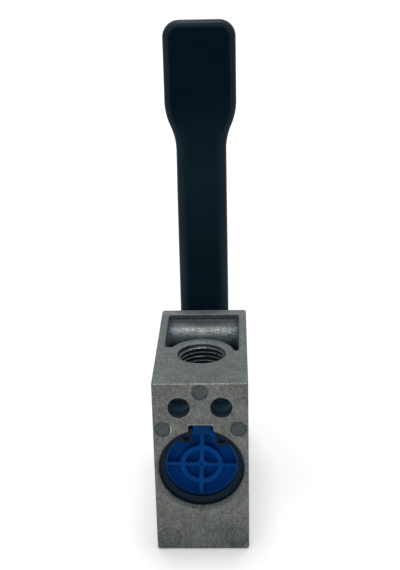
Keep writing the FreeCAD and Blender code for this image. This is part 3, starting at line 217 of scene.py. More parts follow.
# %% Start of a group
def new_group(name, takes, gives):
    """An empty node group. takes has each input's name and default, gives each output's type."""
    tree = bpy.data.node_groups.new(name, "ShaderNodeTree")
    for label, default in takes.items():
        kind = "Vector" if isinstance(default, tuple) else "Float"
        socket = tree.interface.new_socket(name=label, in_out="INPUT", socket_type="NodeSocket" + kind)
        socket.default_value = default
    for label, kind in gives.items():
        tree.interface.new_socket(name=label, in_out="OUTPUT", socket_type="NodeSocket" + kind)
    print("group:", name)
    given, result = (tree.nodes.new("NodeGroup" + end) for end in ("Input", "Output"))
    return Bench(tree), given.outputs, result.inputs


# %% [markdown]
# The first group measures from an axis. Ports, drillings and moulding marks are all round, so a
# material that knows how far it is from their middle can tell their walls and rims from the rest.

# %% Group: distance from an axis
ORIGIN, UP = (0.0, 0.0, 0.0), (0.0, 0.0, 1.0)

bench, given, result = new_group(
    "Distance from axis", {"Place": ORIGIN, "Middle": ORIGIN, "Direction": UP},
    {"Radius": "Float", "Along": "Float"})
axis_distance = bench.tree
offset = bench.vector("SUBTRACT", given["Place"], given["Middle"])
along = bench.vector("DOT_PRODUCT", offset, given["Direction"], give=1)
foot = bench.shaded(given["Direction"], along)
bench.feed(result["Radius"], bench.vector("LENGTH", bench.vector("SUBTRACT", offset, foot), give=1))
bench.feed(result["Along"], along)

# %% [markdown]
# Edges catch the light because they are never quite sharp, and because they rub bright. A Bevel node
# gives the normal that a slightly rounded edge would have. Where it departs from the real one there
# is an edge, and noise breaks that edge into bits, as handling does.

# %% Group: rounded and worn edges
bench, given, result = new_group(
    "Worn edges", {"Place": ORIGIN, "Radius": 0.3 * MM, "Patch": 2.0 * MM, "Amount": 0.5},
    {"Mask": "Float", "Normal": "Vector"})
worn_edges = bench.tree
soft = bench.add("Bevel", {"Radius": given["Radius"]}, samples=6)
hard = bench.add("NewGeometry", give="Normal")
edge = bench.ramp(bench.less(1.0, bench.vector("DOT_PRODUCT", soft, hard, give=1)), 0.01, 0.16)
patches = bench.noise(given["Place"], given["Patch"], 3.0)
broken = bench.ramp(bench.sum("ADD", patches, bench.less(given["Amount"], 0.5)), 0.42, 0.62)
bench.feed(result["Mask"], bench.product(edge, broken))
bench.feed(result["Normal"], soft)

# %% [markdown]
# A pressure die casting has a fine, dull grain with paler and darker clouds, and tiny pits where the
# metal froze against the mould. The group gives a shade that runs round 1 and a height for a bump.

# %% Group: cast grain
PITTED = 0.7  # how strongly the pits show, in the shade and in the height

bench, given, result = new_group(
    "Cast grain", {"Place": ORIGIN, "Grain": 0.5 * MM, "Cloud": 4.0 * MM, "Contrast": 0.3},
    {"Shade": "Float", "Height": "Float"})
cast_grain = bench.tree
place, grain, contrast = (given[name] for name in ("Place", "Grain", "Contrast"))
fine = bench.noise(place, grain, 3.0, 0.65)
lumps = bench.noise(place, bench.sum("DIVIDE", grain, 0.42), 3.0, 0.7, 0.4)
clouds = bench.noise(place, given["Cloud"], 4.0, 0.6)
cells = bench.add("TexVoronoi", {
    "Vector": place, "Scale": bench.sum("DIVIDE", 0.4, grain)}, give="Distance")
pits = bench.product(bench.ramp(cells, 0.06, 0.24, 1.0, 0.0), bench.ramp(clouds, 0.48, 0.6))
mixed = bench.sum(
    "ADD", bench.product(fine, 0.54), bench.product(lumps, 0.27), bench.product(clouds, 0.19))
swing = bench.product(bench.less(mixed, 0.5), contrast, 4.0)
bench.feed(result["Shade"], bench.less(
    bench.sum("ADD", 1.0, swing), bench.product(pits, contrast, PITTED)))
bench.feed(result["Height"], bench.less(fine, bench.product(pits, PITTED)))

# %% [markdown]
# A lathe or a drill leaves fine rings that follow its axis. Noise that is read from the radius and
# the depth alone, not from the angle, comes out as rings.

# %% Group: tool rings
bench, given, result = new_group(
    "Tool rings", {"Radius": 0.0, "Along": 0.0, "Pitch": 0.2 * MM},
    {"Shade": "Float", "Height": "Float"})
tool_rings = bench.tree
track = bench.add("CombineXYZ", {
    axis: bench.sum("DIVIDE", given[way], given["Pitch"])
    for axis, way in (("X", "Radius"), ("Y", "Along"))})
rings = bench.noise(track, 1.0, 2.0, 0.7)
bench.feed(result["Shade"], bench.ramp(rings, 0.3, 0.7, 0.82, 1.18))
bench.feed(result["Height"], rings)

# %% [markdown]
# Moulded plastic and rubber take the fine spark texture of their mould, with slow flow marks under
# it. The texture is too fine to change the colour much, so most of it goes into the bump.

# %% Group: moulded skin
bench, given, result = new_group(
    "Moulded skin", {"Place": ORIGIN, "Grain": 0.25 * MM, "Flow": 8.0 * MM},
    {"Shade": "Float", "Height": "Float"})
moulded_skin = bench.tree
spark = bench.noise(given["Place"], given["Grain"])
flow = bench.noise(given["Place"], given["Flow"], distortion=0.6)
bench.feed(result["Shade"], bench.sum(
    "ADD", bench.ramp(flow, 0.3, 0.7, 0.9, 1.1), bench.product(bench.less(spark, 0.5), 0.12)))
bench.feed(result["Height"], spark)

# %% [markdown]
# Rubbing and handling leave short fine scratches. They are noise stretched along one way, which
# runs aslant over the front, and they come in areas, not all over.

# %% Group: fine scratches
SLANT = 0.9  # radians

bench, given, result = new_group(
    "Fine scratches", {"Place": ORIGIN, "Length": 6.0 * MM, "Width": 0.15 * MM, "Amount": 0.3},
    {"Mask": "Float"})
fine_scratches = bench.tree
bent = bench.add("VectorRotate", {"Vector": given["Place"], "Angle": SLANT}, rotation_type="Y_AXIS")
stretched = bench.vector("DIVIDE", bent, bench.add("CombineXYZ", {
    "X": given["Length"], "Y": given["Width"], "Z": given["Width"]}))
lines = bench.noise(stretched, 1.0, 1.0)
areas = bench.noise(given["Place"], 9.0 * MM)
least = bench.less(0.78, bench.product(given["Amount"], 0.12))
bench.feed(result["Mask"], bench.product(bench.ramp(lines, least, 0.8), bench.ramp(areas, 0.5, 0.6)))

# %% [markdown]
# ## Starting a finish
#
# Every material below starts the same way: one Principled shader, with its plain settings typed into
# its own sockets, and Object coordinates, so that the pattern is fixed to the part and moves with it.
# Colours are written as they look on a screen, from 0 to 255, and turned into light values here.

# %% Start of a finish
def colour(red, green, blue):
    """A screen colour, 0 to 255, as the light values that the shader wants."""
    def light(value):
        value /= 255.0
        return value / 12.92 if value <= 0.04045 else ((value + 0.055) / 1.055) ** 2.4
    return (light(red), light(green), light(blue), 1.0)


def new_finish(name, **plain):
    """A material with one Principled shader. plain holds the settings that don't vary."""
    material = bpy.data.materials.new(name)
    material.use_nodes = True
    bench = Bench(material.node_tree)
    shader = material.node_tree.nodes["Principled BSDF"]
    for label, value in plain.items():
        shader.inputs[label.replace("_", " ")].default_value = value
    place = bench.add("TexCoord", give="Object")
    return bench, shader.inputs, place


def dress(finish, *names):
    """Puts a finish on CAD solids, whose meshes are left alone."""
    for name in names:
        for slot in solids[name].material_slots:
            slot.material = bpy.data.materials[finish]
    print(finish, "is on", *names)


print("white is", colour(255, 255, 255)[:3])

# %% [markdown]
# ## The cast block
#
# The block is a grey aluminium or zinc die casting. Its top is a cool, even grey. Its front is a
# little warmer and duller, with faint upright streaks, and its grey is painted paler than the top's,
# as painted light against the weaker light that falls on it. The pocket behind the top port is
# painted darker, as shade, and the round boss inside it keeps its cast skin, smoother and more
# metallic, with painted shade on its front and ends and a glittering painted highlight along its top.
# Only the threads, the bore and the walls of the ports were cut, so only they have tool rings.
#
# One material does all of this, because it is one piece of metal. Masks made from the place on the
# part choose between the finishes. Most of the block is the same on both halves, so most masks are
# made once, from a place whose left half is laid on the right one.

# %% Cast block: where things are
FRONT, TOP, AXIS_UP = -30.0, 60.0, 30.0  # front and top face, and the bore's axis, in millimetres
REARWARDS = (0.0, 1.0, 0.0)


def mirrored_place(bench, place):
    """The place with both halves of the block laid on each other."""
    across, depth, up = bench.axes(place)
    return bench.add("CombineXYZ", {"X": bench.size(across), "Y": depth, "Z": up})


def away_from(bench, place, middle_x, middle_z):
    """Distance from an axis that runs front to back, at that place on the front."""
    return bench.group(
        axis_distance, Place=place, Middle=(middle_x * MM, 0.0, middle_z * MM),
        Direction=REARWARDS)["Radius"]


print("front face at", FRONT, "mm, top face at", TOP, "mm")

# %% [markdown]
# The round marks on the front were left by the pins that pushed the casting out of its mould. They
# are smooth discs, each with a fine line of painted shade round it where the step of its recess is,
# and one has a painted highlight on an arc at its side.

# %% Cast block: marks of the ejector pins
PIN_MARKS = {  # across, up, radius, how dark; the outer ones come in pairs
    "top": (0.0, 57.0, 2.4, 1.0), "side": (11.9, 44.25, 2.4, 1.0), "foot": (10.85, 4.6, 3.6, 0.4)}


def near_circle(bench, away, radius):
    """Distance from a circle, where away is the distance from its middle."""
    return bench.size(bench.less(away, radius * MM))


def pin_marks(bench, mirrored):
    """Masks of the discs that the ejector pins left on the front, and of the painted shade line round
    each.
    """
    discs, disc_rim_shade = 0.0, 0.0
    for middle_x, middle_z, radius, dark in PIN_MARKS.values():
        away = away_from(bench, mirrored, middle_x, middle_z)
        discs = bench.most(discs, bench.reach(away, radius + 0.05, radius - 0.25, 0.0, dark))
        # painted shade: a fine dark line along the step round each disc
        disc_rim_shade = bench.most(disc_rim_shade, bench.reach(
            near_circle(bench, away, radius), 0.1, 0.42, 0.5 + 0.5 * dark, 0.0))
    return discs, disc_rim_shade


def left_mark_highlight(bench, place):
    """Mask of the painted highlight on an arc beside the left mark."""
    middle_x, middle_z, radius, _ = PIN_MARKS["side"]
    away = away_from(bench, place, -middle_x, middle_z)
    highlight_arc = bench.reach(near_circle(bench, away, radius + 0.3), 0.05, 0.3, 0.7, 0.0)
    return bench.product(highlight_arc, bench.reach(bench.axes(place)[0], 2.2 - middle_x, 2.6 - middle_x))


print("pin marks:", 2 * len(PIN_MARKS) - 1)

# %% [markdown]
# The cut surfaces come next. All of them are round, so the distance from their axes finds them. The
# chamfers and the first millimetre of the ports belong to the casting and stay dull.

# %% Cast block: ports and bore
DOWN = (0.0, 0.0, -1.0)
PORTS = {  # middle of the mouth, in metres, and the way in
    "delivery": ((0.0, -6.6 * MM, TOP * MM), DOWN), "supply": ((0.0, -16.5 * MM, 0.0), UP)}
PORT_RADIUS, PORT_CHAMFER, PORT_DEPTH = 8.0, 0.6, 11.4
BORE_RADIUS, BORE_DEPTH = 13.5, 70.0


def port_mouths(bench, place):
    """Mask of the chamfers round the mouths of both ports, and of the lead-in below them."""
    mask, rim = 0.0, PORT_RADIUS + PORT_CHAMFER
    for mouth, inward in PORTS.values():
        away = bench.group(axis_distance, Place=place, Middle=mouth, Direction=inward)
        mask = bench.most(mask, bench.product(
            bench.reach(away["Radius"], rim + 0.1, rim - 0.1),
            bench.reach(away["Along"], 1.0, 0.85)))
    return mask


def cut_walls(bench, place):
    """Mask of the bored and drilled walls, and the tool rings on them."""
    mask, shade, height = 0.0, 1.0, 0.5
    walls = [(mouth, inward, PORT_RADIUS + 0.06, PORT_DEPTH) for mouth, inward in PORTS.values()]
    bore_mouth = (0.0, FRONT * MM, AXIS_UP * MM)
    for mouth, inward, radius, depth in (
            *walls, (bore_mouth, REARWARDS, BORE_RADIUS + 0.1, BORE_DEPTH)):
        away = bench.group(axis_distance, Place=place, Middle=mouth, Direction=inward)
        near = bench.product(
            bench.reach(away["Radius"], radius + 0.06, radius),
            bench.band(away["Along"], 0.15, 0.3, depth, depth + 0.3))
        rings = bench.group(tool_rings, Radius=away["Radius"], Along=away["Along"], Pitch=0.16 * MM)
        mask = bench.most(mask, near)
        shade = bench.blended(near, shade, rings["Shade"])
        height = bench.blended(near, height, rings["Height"])
    return mask, shade, height


print("cut radii in mm:", PORT_RADIUS, BORE_RADIUS)

# %% [markdown]
# The pocket needs masks of its own. Its walls kept the dull skin of the casting, darkened by painted
# shade, but the boss that carries the cross hole was polished by the molten metal that rushed over it,
# so it is smoother and more metallic, and shines.

# %% Cast block: the pockets
BOSS_RADIUS = 6.6
BOSS_PLACES = ((21.8, 51.7), (21.8, 8.3))  # depth and height of the boss in each pocket
POCKET_FLOOR, POCKET_SIDE = 14.0, 12.9  # from the bore's axis, and from the block's middle
POCKET_START, POCKET_END = -6.0, 29.4  # along the block, past the walls at both ends
ACROSS = (1.0, 0.0, 0.0)


def in_pockets(bench, mirrored):
    """Masks of the inside of both pockets, and of the bosses in them."""
    across, depth, up = bench.axes(mirrored)
    from_axis = bench.size(bench.less(up, AXIS_UP * MM))
    inside = bench.product(
        bench.band(from_axis, POCKET_FLOOR - 1.0, POCKET_FLOOR, AXIS_UP - 0.7, AXIS_UP - 0.2),
        bench.band(depth, POCKET_START, POCKET_START + 0.5, POCKET_END - 0.5, POCKET_END),
        bench.reach(across, POCKET_SIDE, POCKET_SIDE - 0.4))
    bosses = 0.0
    for middle_y, middle_z in BOSS_PLACES:
        away = bench.group(
            axis_distance, Place=mirrored, Middle=(0.0, middle_y * MM, middle_z * MM),
            Direction=ACROSS)["Radius"]
        bosses = bench.most(bosses, bench.reach(away, BOSS_RADIUS + 0.14, BOSS_RADIUS + 0.04))
    return inside, bench.product(bosses, inside)


print("bosses:", len(BOSS_PLACES))

# %% [markdown]
# Now the material is started and the masks are made. Each of the two blind holes in the front was
# cored, not drilled: its wall keeps the marks of the core pin, and its far end is pale and blue with
# painted light.

# %% Cast block: its masks
HOLE_X, HOLE_Z, HOLE_RADIUS, HOLE_FLOOR = 6.63, 51.7, 3.5, FRONT + 12.0  # on both halves

bench, shader, place = new_finish("cast_aluminium")
mirrored = mirrored_place(bench, place)
across, depth, up = bench.axes(mirrored)
front = bench.reach(depth, FRONT + 0.3, FRONT + 0.2)
discs, disc_rim_shade = pin_marks(bench, mirrored)
cut, ring_shade, ring_height = cut_walls(bench, place)
mouths = port_mouths(bench, place)
inside, bosses = in_pockets(bench, mirrored)
inside = bench.product(inside, bench.less(1.0, cut))
cored = bench.product(
    bench.reach(away_from(bench, mirrored, HOLE_X, HOLE_Z), HOLE_RADIUS + 0.08, HOLE_RADIUS),
    bench.less(1.0, front), bench.reach(depth, HOLE_FLOOR + 0.5, HOLE_FLOOR - 0.5))
core_rings = bench.group(tool_rings, Radius=0.0, Along=depth, Pitch=0.7 * MM)["Shade"]
# painted light: the far end of each cored hole is paler
core_end_light = bench.reach(depth, FRONT + 3.5, FRONT + 6.0)
print("nodes so far:", len(bench.tree.nodes))

# %% [markdown]
# The grain covers all of it. The front has faint upright streaks, from noise that is stretched
# upwards. Its upper corners are darker, and painted shade darkens it towards its foot.

# %% Cast block: grain, streaks, darker corners and painted shade
CAST_LOOK = {"Grain": 0.5 * MM, "Cloud": 4.5 * MM, "Contrast": 1.15}

grain = bench.group(cast_grain, Place=place, **CAST_LOOK)
edges = bench.group(worn_edges, Place=place, Radius=0.26 * MM, Patch=2.6 * MM, Amount=0.5)
scratches = bench.group(
    fine_scratches, Place=place, Length=5.0 * MM, Width=0.2 * MM, Amount=0.5)["Mask"]
elsewhere = bench.vector("ADD", place, (0.03, 0.02, 0.01))  # so that smears miss the scratches
smears = bench.group(
    fine_scratches, Place=elsewhere, Length=2.0 * MM, Width=0.55 * MM, Amount=1.6)["Mask"]
streaks = bench.noise(bench.vector("MULTIPLY", place, (1.0, 1.0, 0.2)), 1.1 * MM, 4.0)
streaked = bench.blended(front, 1.0, bench.ramp(streaks, 0.25, 0.75, 0.9, 1.1))
upper_corners = bench.product(
    bench.reach(across, 9.5, 15.0), bench.reach(up, TOP - 4.0, TOP - 0.4, 0.0, 0.7))
blotches = bench.ramp(bench.noise(place, 5.0 * MM, 4.0, 0.6), 0.3, 0.6)
# darker in the upper corners, and painted shade towards the foot
corner_dark_and_foot_shade = bench.product(
    bench.most(upper_corners, bench.reach(up, 20.0, 0.0, 0.0, 0.55)), front, blotches)
print("grain in mm:", CAST_LOOK["Grain"] / MM)

# %% [markdown]
# The boss has painted shade in front and at its ends and is paler on top, as painted light, with a
# painted highlight that glitters in a band along it. The fillet behind it, where the pocket's rear
# wall starts, is painted with the darkest shade.

# %% Cast block: the boss in the pocket
BOSS_SHADE, BOSS_LIT_TOP, BOSS_HIGHLIGHT = colour(50, 60, 66), colour(92, 98, 102), colour(103, 105, 102)
HIGHLIGHT_BAND = (16.2, 17.5, 18.3, 19.9)  # along the block, where it starts, is full, fades and ends

# painted light on the boss: shade in front and at the ends, a paler top, and a glittering highlight
boss_lit_top = bench.product(bench.reach(across, 12.4, 9.0), bench.reach(depth, 15.9, 17.6))
highlight_sparkle = bench.ramp(bench.noise(place, 0.9 * MM, 3.0, 0.7), 0.34, 0.6, 0.45, 1.0)
boss_highlight = bench.product(bench.band(depth, *HIGHLIGHT_BAND), bench.reach(across, 11.8, 3.0), highlight_sparkle)
boss_painted_light = bench.tint(boss_highlight, bench.tint(boss_lit_top, BOSS_SHADE, BOSS_LIT_TOP), BOSS_HIGHLIGHT)
# painted shade on the fillet where the boss meets the pocket's rear wall
boss_fillet_shade = bench.product(
    inside, bench.reach(depth, 24.4, 24.9), bench.reach(up, TOP - 1.2, TOP - 1.6))
print("glitter from", HIGHLIGHT_BAND[0], "to", HIGHLIGHT_BAND[-1], "mm")

# %% [markdown]
# Then the colours are laid over each other by their masks, as a painter would: the grey first, then the
# warmer front with its painted light, painted light on the rear of the block, the marks and the dirt on
# the front with painted shade and highlights among them, the pockets in painted shade with the boss's
# painted highlight, the cut metal, and the cored holes with painted light at their far ends.

# %% Cast block: its colours
CAST_TOP, CAST_FRONT_TONE_AND_LIGHT, CAST_BROWN = colour(91, 98, 97), colour(101, 106, 105), colour(105, 105, 101)
CAST_REAR_PAINTED_LIGHT, NOTCH_HIGHLIGHT = colour(110, 116, 118), colour(132, 136, 142)
PIN_MARK, SHADE_LINE_AND_SMEAR, CORNER_DARK_AND_FOOT_SHADE = colour(68, 75, 78), colour(44, 50, 52), colour(76, 86, 87)
BORE_MOUTH_SHADE, MOUTH, CUT_METAL = colour(62, 69, 72), colour(104, 110, 111), colour(38, 46, 50)
POCKET_SHADE, BOSS_FILLET_SHADE = colour(69, 79, 84), colour(46, 53, 57)
CORE_WALL, CORE_END_LIGHT = colour(46, 64, 76), colour(98, 138, 162)

browned = bench.ramp(bench.noise(place, 7.0 * MM, 4.0, 0.6), 0.36, 0.62)
# painted highlight along the upper lip of the notch over the plug's tab
notch_highlight = bench.product(
    bench.reach(across, 4.5, 3.9), bench.band(up, 45.5, 45.7, 45.8, 46.3), front)
# painted shade in a band round the lower half of the bore's mouth, below the ring
bore_mouth_shade = bench.product(bench.reach(
    away_from(bench, place, 0.0, AXIS_UP), 15.3, 14.3), bench.reach(up, 27.0, 17.0))
# Painted light: the front's grey is paler than the top's, to even out the weaker light on the front.
skin = bench.tint(front, CAST_TOP, bench.tint(browned, CAST_FRONT_TONE_AND_LIGHT, CAST_BROWN))
for mask, look in (
        # painted light: the rear of the block is lighter where the lever shades the top from the lamp
        (bench.reach(depth, 22.0, 28.0, 0.0, 0.8), CAST_REAR_PAINTED_LIGHT),
        (bench.product(discs, front), PIN_MARK),
        (bench.product(notch_highlight, 0.8), NOTCH_HIGHLIGHT),
        (corner_dark_and_foot_shade, CORNER_DARK_AND_FOOT_SHADE),
        (bench.product(smears, 0.4), SHADE_LINE_AND_SMEAR),
        (bench.product(bore_mouth_shade, 0.8), BORE_MOUTH_SHADE),
        # painted shade inside the pockets
        (inside, POCKET_SHADE),
        (boss_fillet_shade, BOSS_FILLET_SHADE),
        (bosses, boss_painted_light),
        # painted shade round the discs; the same dark colour also serves the dirty smears above
        (bench.product(disc_rim_shade, front, 0.8), SHADE_LINE_AND_SMEAR),
        (mouths, MOUTH),
        (bench.product(cut, bench.less(1.0, mouths)), CUT_METAL),
        (cored, bench.shaded(bench.tint(core_end_light, CORE_WALL, CORE_END_LIGHT), core_rings))):
    skin = bench.tint(mask, skin, look)
print("grey of the top:", [round(value, 3) for value in CAST_TOP[:3]])

# %% [markdown]
# Where the metal has rubbed it is bright, in scratches and along the edges. A painted highlight lies
# on an arc beside the left mark, and in a broken line on the front's upper edge. The discs and the
# shade lines round them are left out, because their edges are in the casting and don't stand proud.

# %% Cast block: rubbed bright, and painted highlights
RUBBED_AND_HIGHLIGHT = colour(196, 200, 200)

near_marks = bench.product(front, bench.most(disc_rim_shade, discs))
highlight_breaks = bench.ramp(bench.noise(place, 3.0 * MM, 3.0, 0.6), 0.45, 0.64, 0.05, 0.55)
# painted highlight in a broken line along the front's top edge
front_edge_highlight = bench.product(
    bench.reach(up, TOP - 0.32, TOP - 0.2), bench.reach(depth, FRONT + 0.32, FRONT + 0.2), highlight_breaks)
wear_and_highlights = bench.most(
    bench.product(edges["Mask"], bench.less(1.0, near_marks), 0.8),
    bench.product(scratches, 0.55), bench.product(left_mark_highlight(bench, place), front), front_edge_highlight)
smooth = bench.product(front, discs, 0.45)
shade = bench.product(bench.blended(smooth, grain["Shade"], 1.0), ring_shade, streaked)
bench.feed(shader["Base Color"], bench.tint(wear_and_highlights, bench.shaded(skin, shade), RUBBED_AND_HIGHLIGHT))
print("rubbed metal:", [round(value, 3) for value in RUBBED_AND_HIGHLIGHT[:3]])

# %% [markdown]
# Last comes the shine. The bosses and the cut walls are smoother and more metallic than the dull
# skin. The bump adds the grain and, on the bosses, the larger dimples that make them glitter.

# %% Cast block: its shine and relief
rough = bench.ramp(grain["Shade"], 0.4, 1.6, 0.66, 0.5)
rough = bench.blended(bosses, rough, bench.ramp(grain["Shade"], 0.5, 1.5, 0.56, 0.42))
rough = bench.blended(cut, rough, bench.ramp(mouths, 0.0, 1.0, 0.46, 0.66))
bench.feed(shader["Roughness"], bench.blended(cored, rough, 0.7))
metal = bench.blended(
    inside, bench.ramp(bench.less(cut, mouths), 0.0, 1.0, 0.5, 0.9),
    bench.ramp(bosses, 0.0, 1.0, 0.2, 0.72))
metal = bench.blended(mouths, metal, 0.3)
bench.feed(shader["Metallic"], bench.blended(cored, metal, 0.0))

dimples = bench.product(bench.noise(place, 1.1 * MM, 2.0, 0.7), 3.0)
height = bench.blended(bosses, grain["Height"], bench.sum("ADD", grain["Height"], dimples))
height = bench.blended(cut, height, ring_height)
bench.relief(shader, 0.8, 0.05, height, edges)
dress("cast_aluminium", "valve_body")

# %% [markdown]
# ## Black lever
#
# The lever is one heavy moulding in black, almost blue black, with generously rounded edges. It is
# satin, so its flat faces stay dark. The rounding carries a soft pale band of painted sheen, and the
# top a paler painted highlight. Which way the surface faces, read in the lever's own axes, tells the
# rounding from the flats, so the painted sheen stays on the lever when it swings.

# %% Black lever: where its sheen is painted
bench, shader, place = new_finish("lever_moulding", Specular_IOR_Level=0.07)
shader["Specular Tint"].default_value = (0.38, 0.72, 1.0, 1.0)
facing_y, facing_z = bench.axes(bench.add("TexCoord", give="Normal"))[1:]
across, up = bench.axes(place)[::2]
# painted sheen on the faces that look up, on the rounding, and down the shaft's sides
top_sheen = bench.ramp(facing_z, 0.3, 0.9)
shaft_side_sheen = bench.product(
    bench.reach(bench.size(across), 4.6, 7.0), bench.reach(up, 128.0, 118.0, 0.0, 0.75))
rounding_sheen = bench.most(bench.ramp(bench.size(facing_y), 0.9996, 0.975), shaft_side_sheen)
rounding_sheen = bench.product(rounding_sheen, bench.reach(up, 42.0, 54.0))
shaft_sheen = bench.band(up, 66.0, 98.0, 112.0, 132.0)
print("nodes so far:", len(bench.tree.nodes))

# %% [markdown]
# Painted shade darkens the flats from the block up to the paddle, and a paler painted sheen lies on the
# middle of the shaft.
# The skin has a very fine texture and a few scuffs.

# %% Black lever: colour, shine and relief
LEVER_FOOT_LIT, LEVER_SHAFT, LEVER_SHAFT_SHEEN = colour(13, 28, 38), colour(6, 17, 26), colour(12, 25, 33)
LEVER_PADDLE_SHADE, LEVER_TOP_SHEEN, LEVER_RUBBED = colour(2, 10, 19), colour(44, 48, 52), colour(48, 58, 66)
ROUNDING_SHEEN_LOW, ROUNDING_SHEEN_HIGH = colour(36, 49, 57), colour(25, 37, 46)

skin = bench.group(moulded_skin, Place=place, Grain=0.3 * MM, Flow=14.0 * MM)
edges = bench.group(worn_edges, Place=place, Radius=0.3 * MM, Patch=3.0 * MM, Amount=0.3)
scuffs = bench.group(
    fine_scratches, Place=place, Length=9.0 * MM, Width=0.2 * MM, Amount=0.2)["Mask"]
# painted light: lighter at the foot, painted shade on the paddle, painted sheen mid shaft
black = bench.tint(bench.reach(up, 62.0, 84.0), LEVER_FOOT_LIT, LEVER_SHAFT)
for mask, look in (
        (shaft_sheen, LEVER_SHAFT_SHEEN),
        (bench.reach(up, 125.0, 138.0), LEVER_PADDLE_SHADE),
        (rounding_sheen, bench.tint(bench.reach(up, 62.0, 100.0), ROUNDING_SHEEN_LOW, ROUNDING_SHEEN_HIGH)),
        (top_sheen, LEVER_TOP_SHEEN)):
    black = bench.tint(mask, black, look)
rubbed = bench.most(bench.product(edges["Mask"], 0.3), bench.product(scuffs, 0.25))
bench.feed(shader["Base Color"], bench.tint(rubbed, bench.shaded(black, skin["Shade"]), LEVER_RUBBED))
bench.feed(shader["Roughness"], bench.blended(
    rounding_sheen, bench.ramp(skin["Shade"], 0.85, 1.15, 0.5, 0.42), 0.34))
bench.relief(shader, 0.5, 0.012, skin["Height"], edges)
dress("lever_moulding", "lever")

# %% [markdown]
# ## Blue plug
#
# The plug that closes the bore is a glass filled moulding in strong blue. Its ribs are a hair paler
# than the recesses between them, its outer wall is a darker blue, and a painted highlight runs round
# its rim.

# %% Blue plug
RIB_BLUE, RECESS_BLUE, WALL_BLUE = colour(3, 61, 127), colour(2, 58, 126), colour(5, 52, 102)
RIM_HIGHLIGHT_BLUE, RUBBED_BLUE = colour(20, 80, 146), colour(20, 92, 160)

bench, shader, place = new_finish("plug_blue", Specular_IOR_Level=0.1)
shader["Specular Tint"].default_value = (0.15, 0.5, 1.0, 1.0)
skin = bench.group(moulded_skin, Place=place, Grain=0.28 * MM, Flow=5.0 * MM)
edges = bench.group(worn_edges, Place=place, Radius=0.2 * MM, Patch=1.5 * MM, Amount=0.55)
recessed = bench.reach(bench.axes(place)[1], FRONT + 3.4, FRONT + 4.8)
away = away_from(bench, place, 0.0, AXIS_UP)
# painted highlight: a paler band round the plug's rim
rim = bench.band(away, 10.95, 11.15, 11.5, 11.75)
base = bench.tint(recessed, RIB_BLUE, RECESS_BLUE)
base = bench.tint(bench.reach(away, 11.5, 11.8), base, WALL_BLUE)
base = bench.tint(bench.product(rim, 0.9), base, RIM_HIGHLIGHT_BLUE)
bench.feed(shader["Base Color"], bench.tint(
    bench.product(edges["Mask"], 0.3), bench.shaded(base, skin["Shade"]), RUBBED_BLUE))
bench.feed(shader["Roughness"], bench.ramp(skin["Shade"], 0.85, 1.15, 0.5, 0.4))
bench.relief(shader, 0.5, 0.014, skin["Height"], edges)
dress("plug_blue", "end_cap")

# %% [markdown]
# ## Black spring steel
#
# The ring that holds the plug is stamped from spring steel and blackened in a hot salt bath. The
# blacking is thin: it has a blue cast, faint blotches, and it wears off along the stamped edges.

# %% Black spring steel
BLACKING, BARE_STEEL = colour(13, 28, 41), colour(58, 66, 70)

bench, shader, place = new_finish("blackened_steel", Metallic=0.2, Specular_IOR_Level=0.1)
grain = bench.group(cast_grain, Place=place, Grain=0.4 * MM, Cloud=2.4 * MM, Contrast=0.3)
edges = bench.group(worn_edges, Place=place, Radius=0.15 * MM, Patch=1.2 * MM, Amount=0.5)
bench.feed(shader["Base Color"], bench.tint(
    bench.product(edges["Mask"], 0.5), bench.shaded(BLACKING, grain["Shade"]), BARE_STEEL))
bench.feed(shader["Roughness"], bench.ramp(grain["Shade"], 0.8, 1.2, 0.5, 0.38))
bench.relief(shader, 0.5, 0.012, grain["Height"], edges)
dress("blackened_steel", "retaining_ring", "guide_retaining_ring")

# %% [markdown]
# ## Turned parts
#
# The pivot pin, the rod, its button and the brass pieces were turned, so they carry rings about
# their own axis. The pin lies across the block and the others lie along the bore, so one helper makes
# the finish for any axis. Steel and brass differ only in colour and shine.

# %% Turned steel and brass
RUBBED_STEEL = colour(226, 228, 228)
BORE_AXIS = ((0.0, 0.0, AXIS_UP * MM), REARWARDS)
PIN_AXIS = ((0.0, 40.4 * MM, 31.8 * MM), ACROSS)


def turned_metal(name, metal, middle, direction, roughness):
    """A bright turned finish with rings about the given axis."""
    bench, shader, place = new_finish(name, Metallic=1.0)
    away = bench.group(axis_distance, Place=place, Middle=middle, Direction=direction)
    rings = bench.group(tool_rings, Radius=away["Radius"], Along=away["Along"], Pitch=0.14 * MM)
    edges = bench.group(worn_edges, Place=place, Radius=0.12 * MM, Patch=1.0 * MM, Amount=0.6)
    haze = bench.noise(place, 3.0 * MM, 3.0)
    shade = bench.product(rings["Shade"], bench.ramp(haze, 0.3, 0.7, 0.92, 1.05))
    bench.feed(shader["Base Color"], bench.tint(
        bench.product(edges["Mask"], 0.5), bench.shaded(metal, shade), RUBBED_STEEL))
    bench.feed(shader["Roughness"], bench.ramp(haze, 0.3, 0.7, roughness, roughness + 0.1))
    bench.relief(shader, 0.6, 0.01, rings["Height"], edges)


turned_metal("turned_steel", colour(168, 172, 176), *BORE_AXIS, 0.24)
turned_metal("pin_steel", colour(176, 178, 180), *PIN_AXIS, 0.22)
turned_metal("turned_brass", colour(196, 164, 92), *BORE_AXIS, 0.26)
dress("turned_steel", "tappet", "thrust_button")
dress("turned_brass", "poppet", "seat_sleeve")
dress("pin_steel", "pivot_pin")

# %% [markdown]
# ## Springs, clips and the strainer
#
# These are bright spring wire and strip. Drawn wire is smooth and slightly yellowed by its heat
# treatment, with long faint draw lines and a little oil in the hollows.

# %% Spring steel
WIRE_GREY, WIRE_YELLOW = colour(150, 150, 146), colour(172, 168, 158)
DRAW_LINE, WIRE_EDGE = colour(110, 108, 104), colour(222, 224, 224)

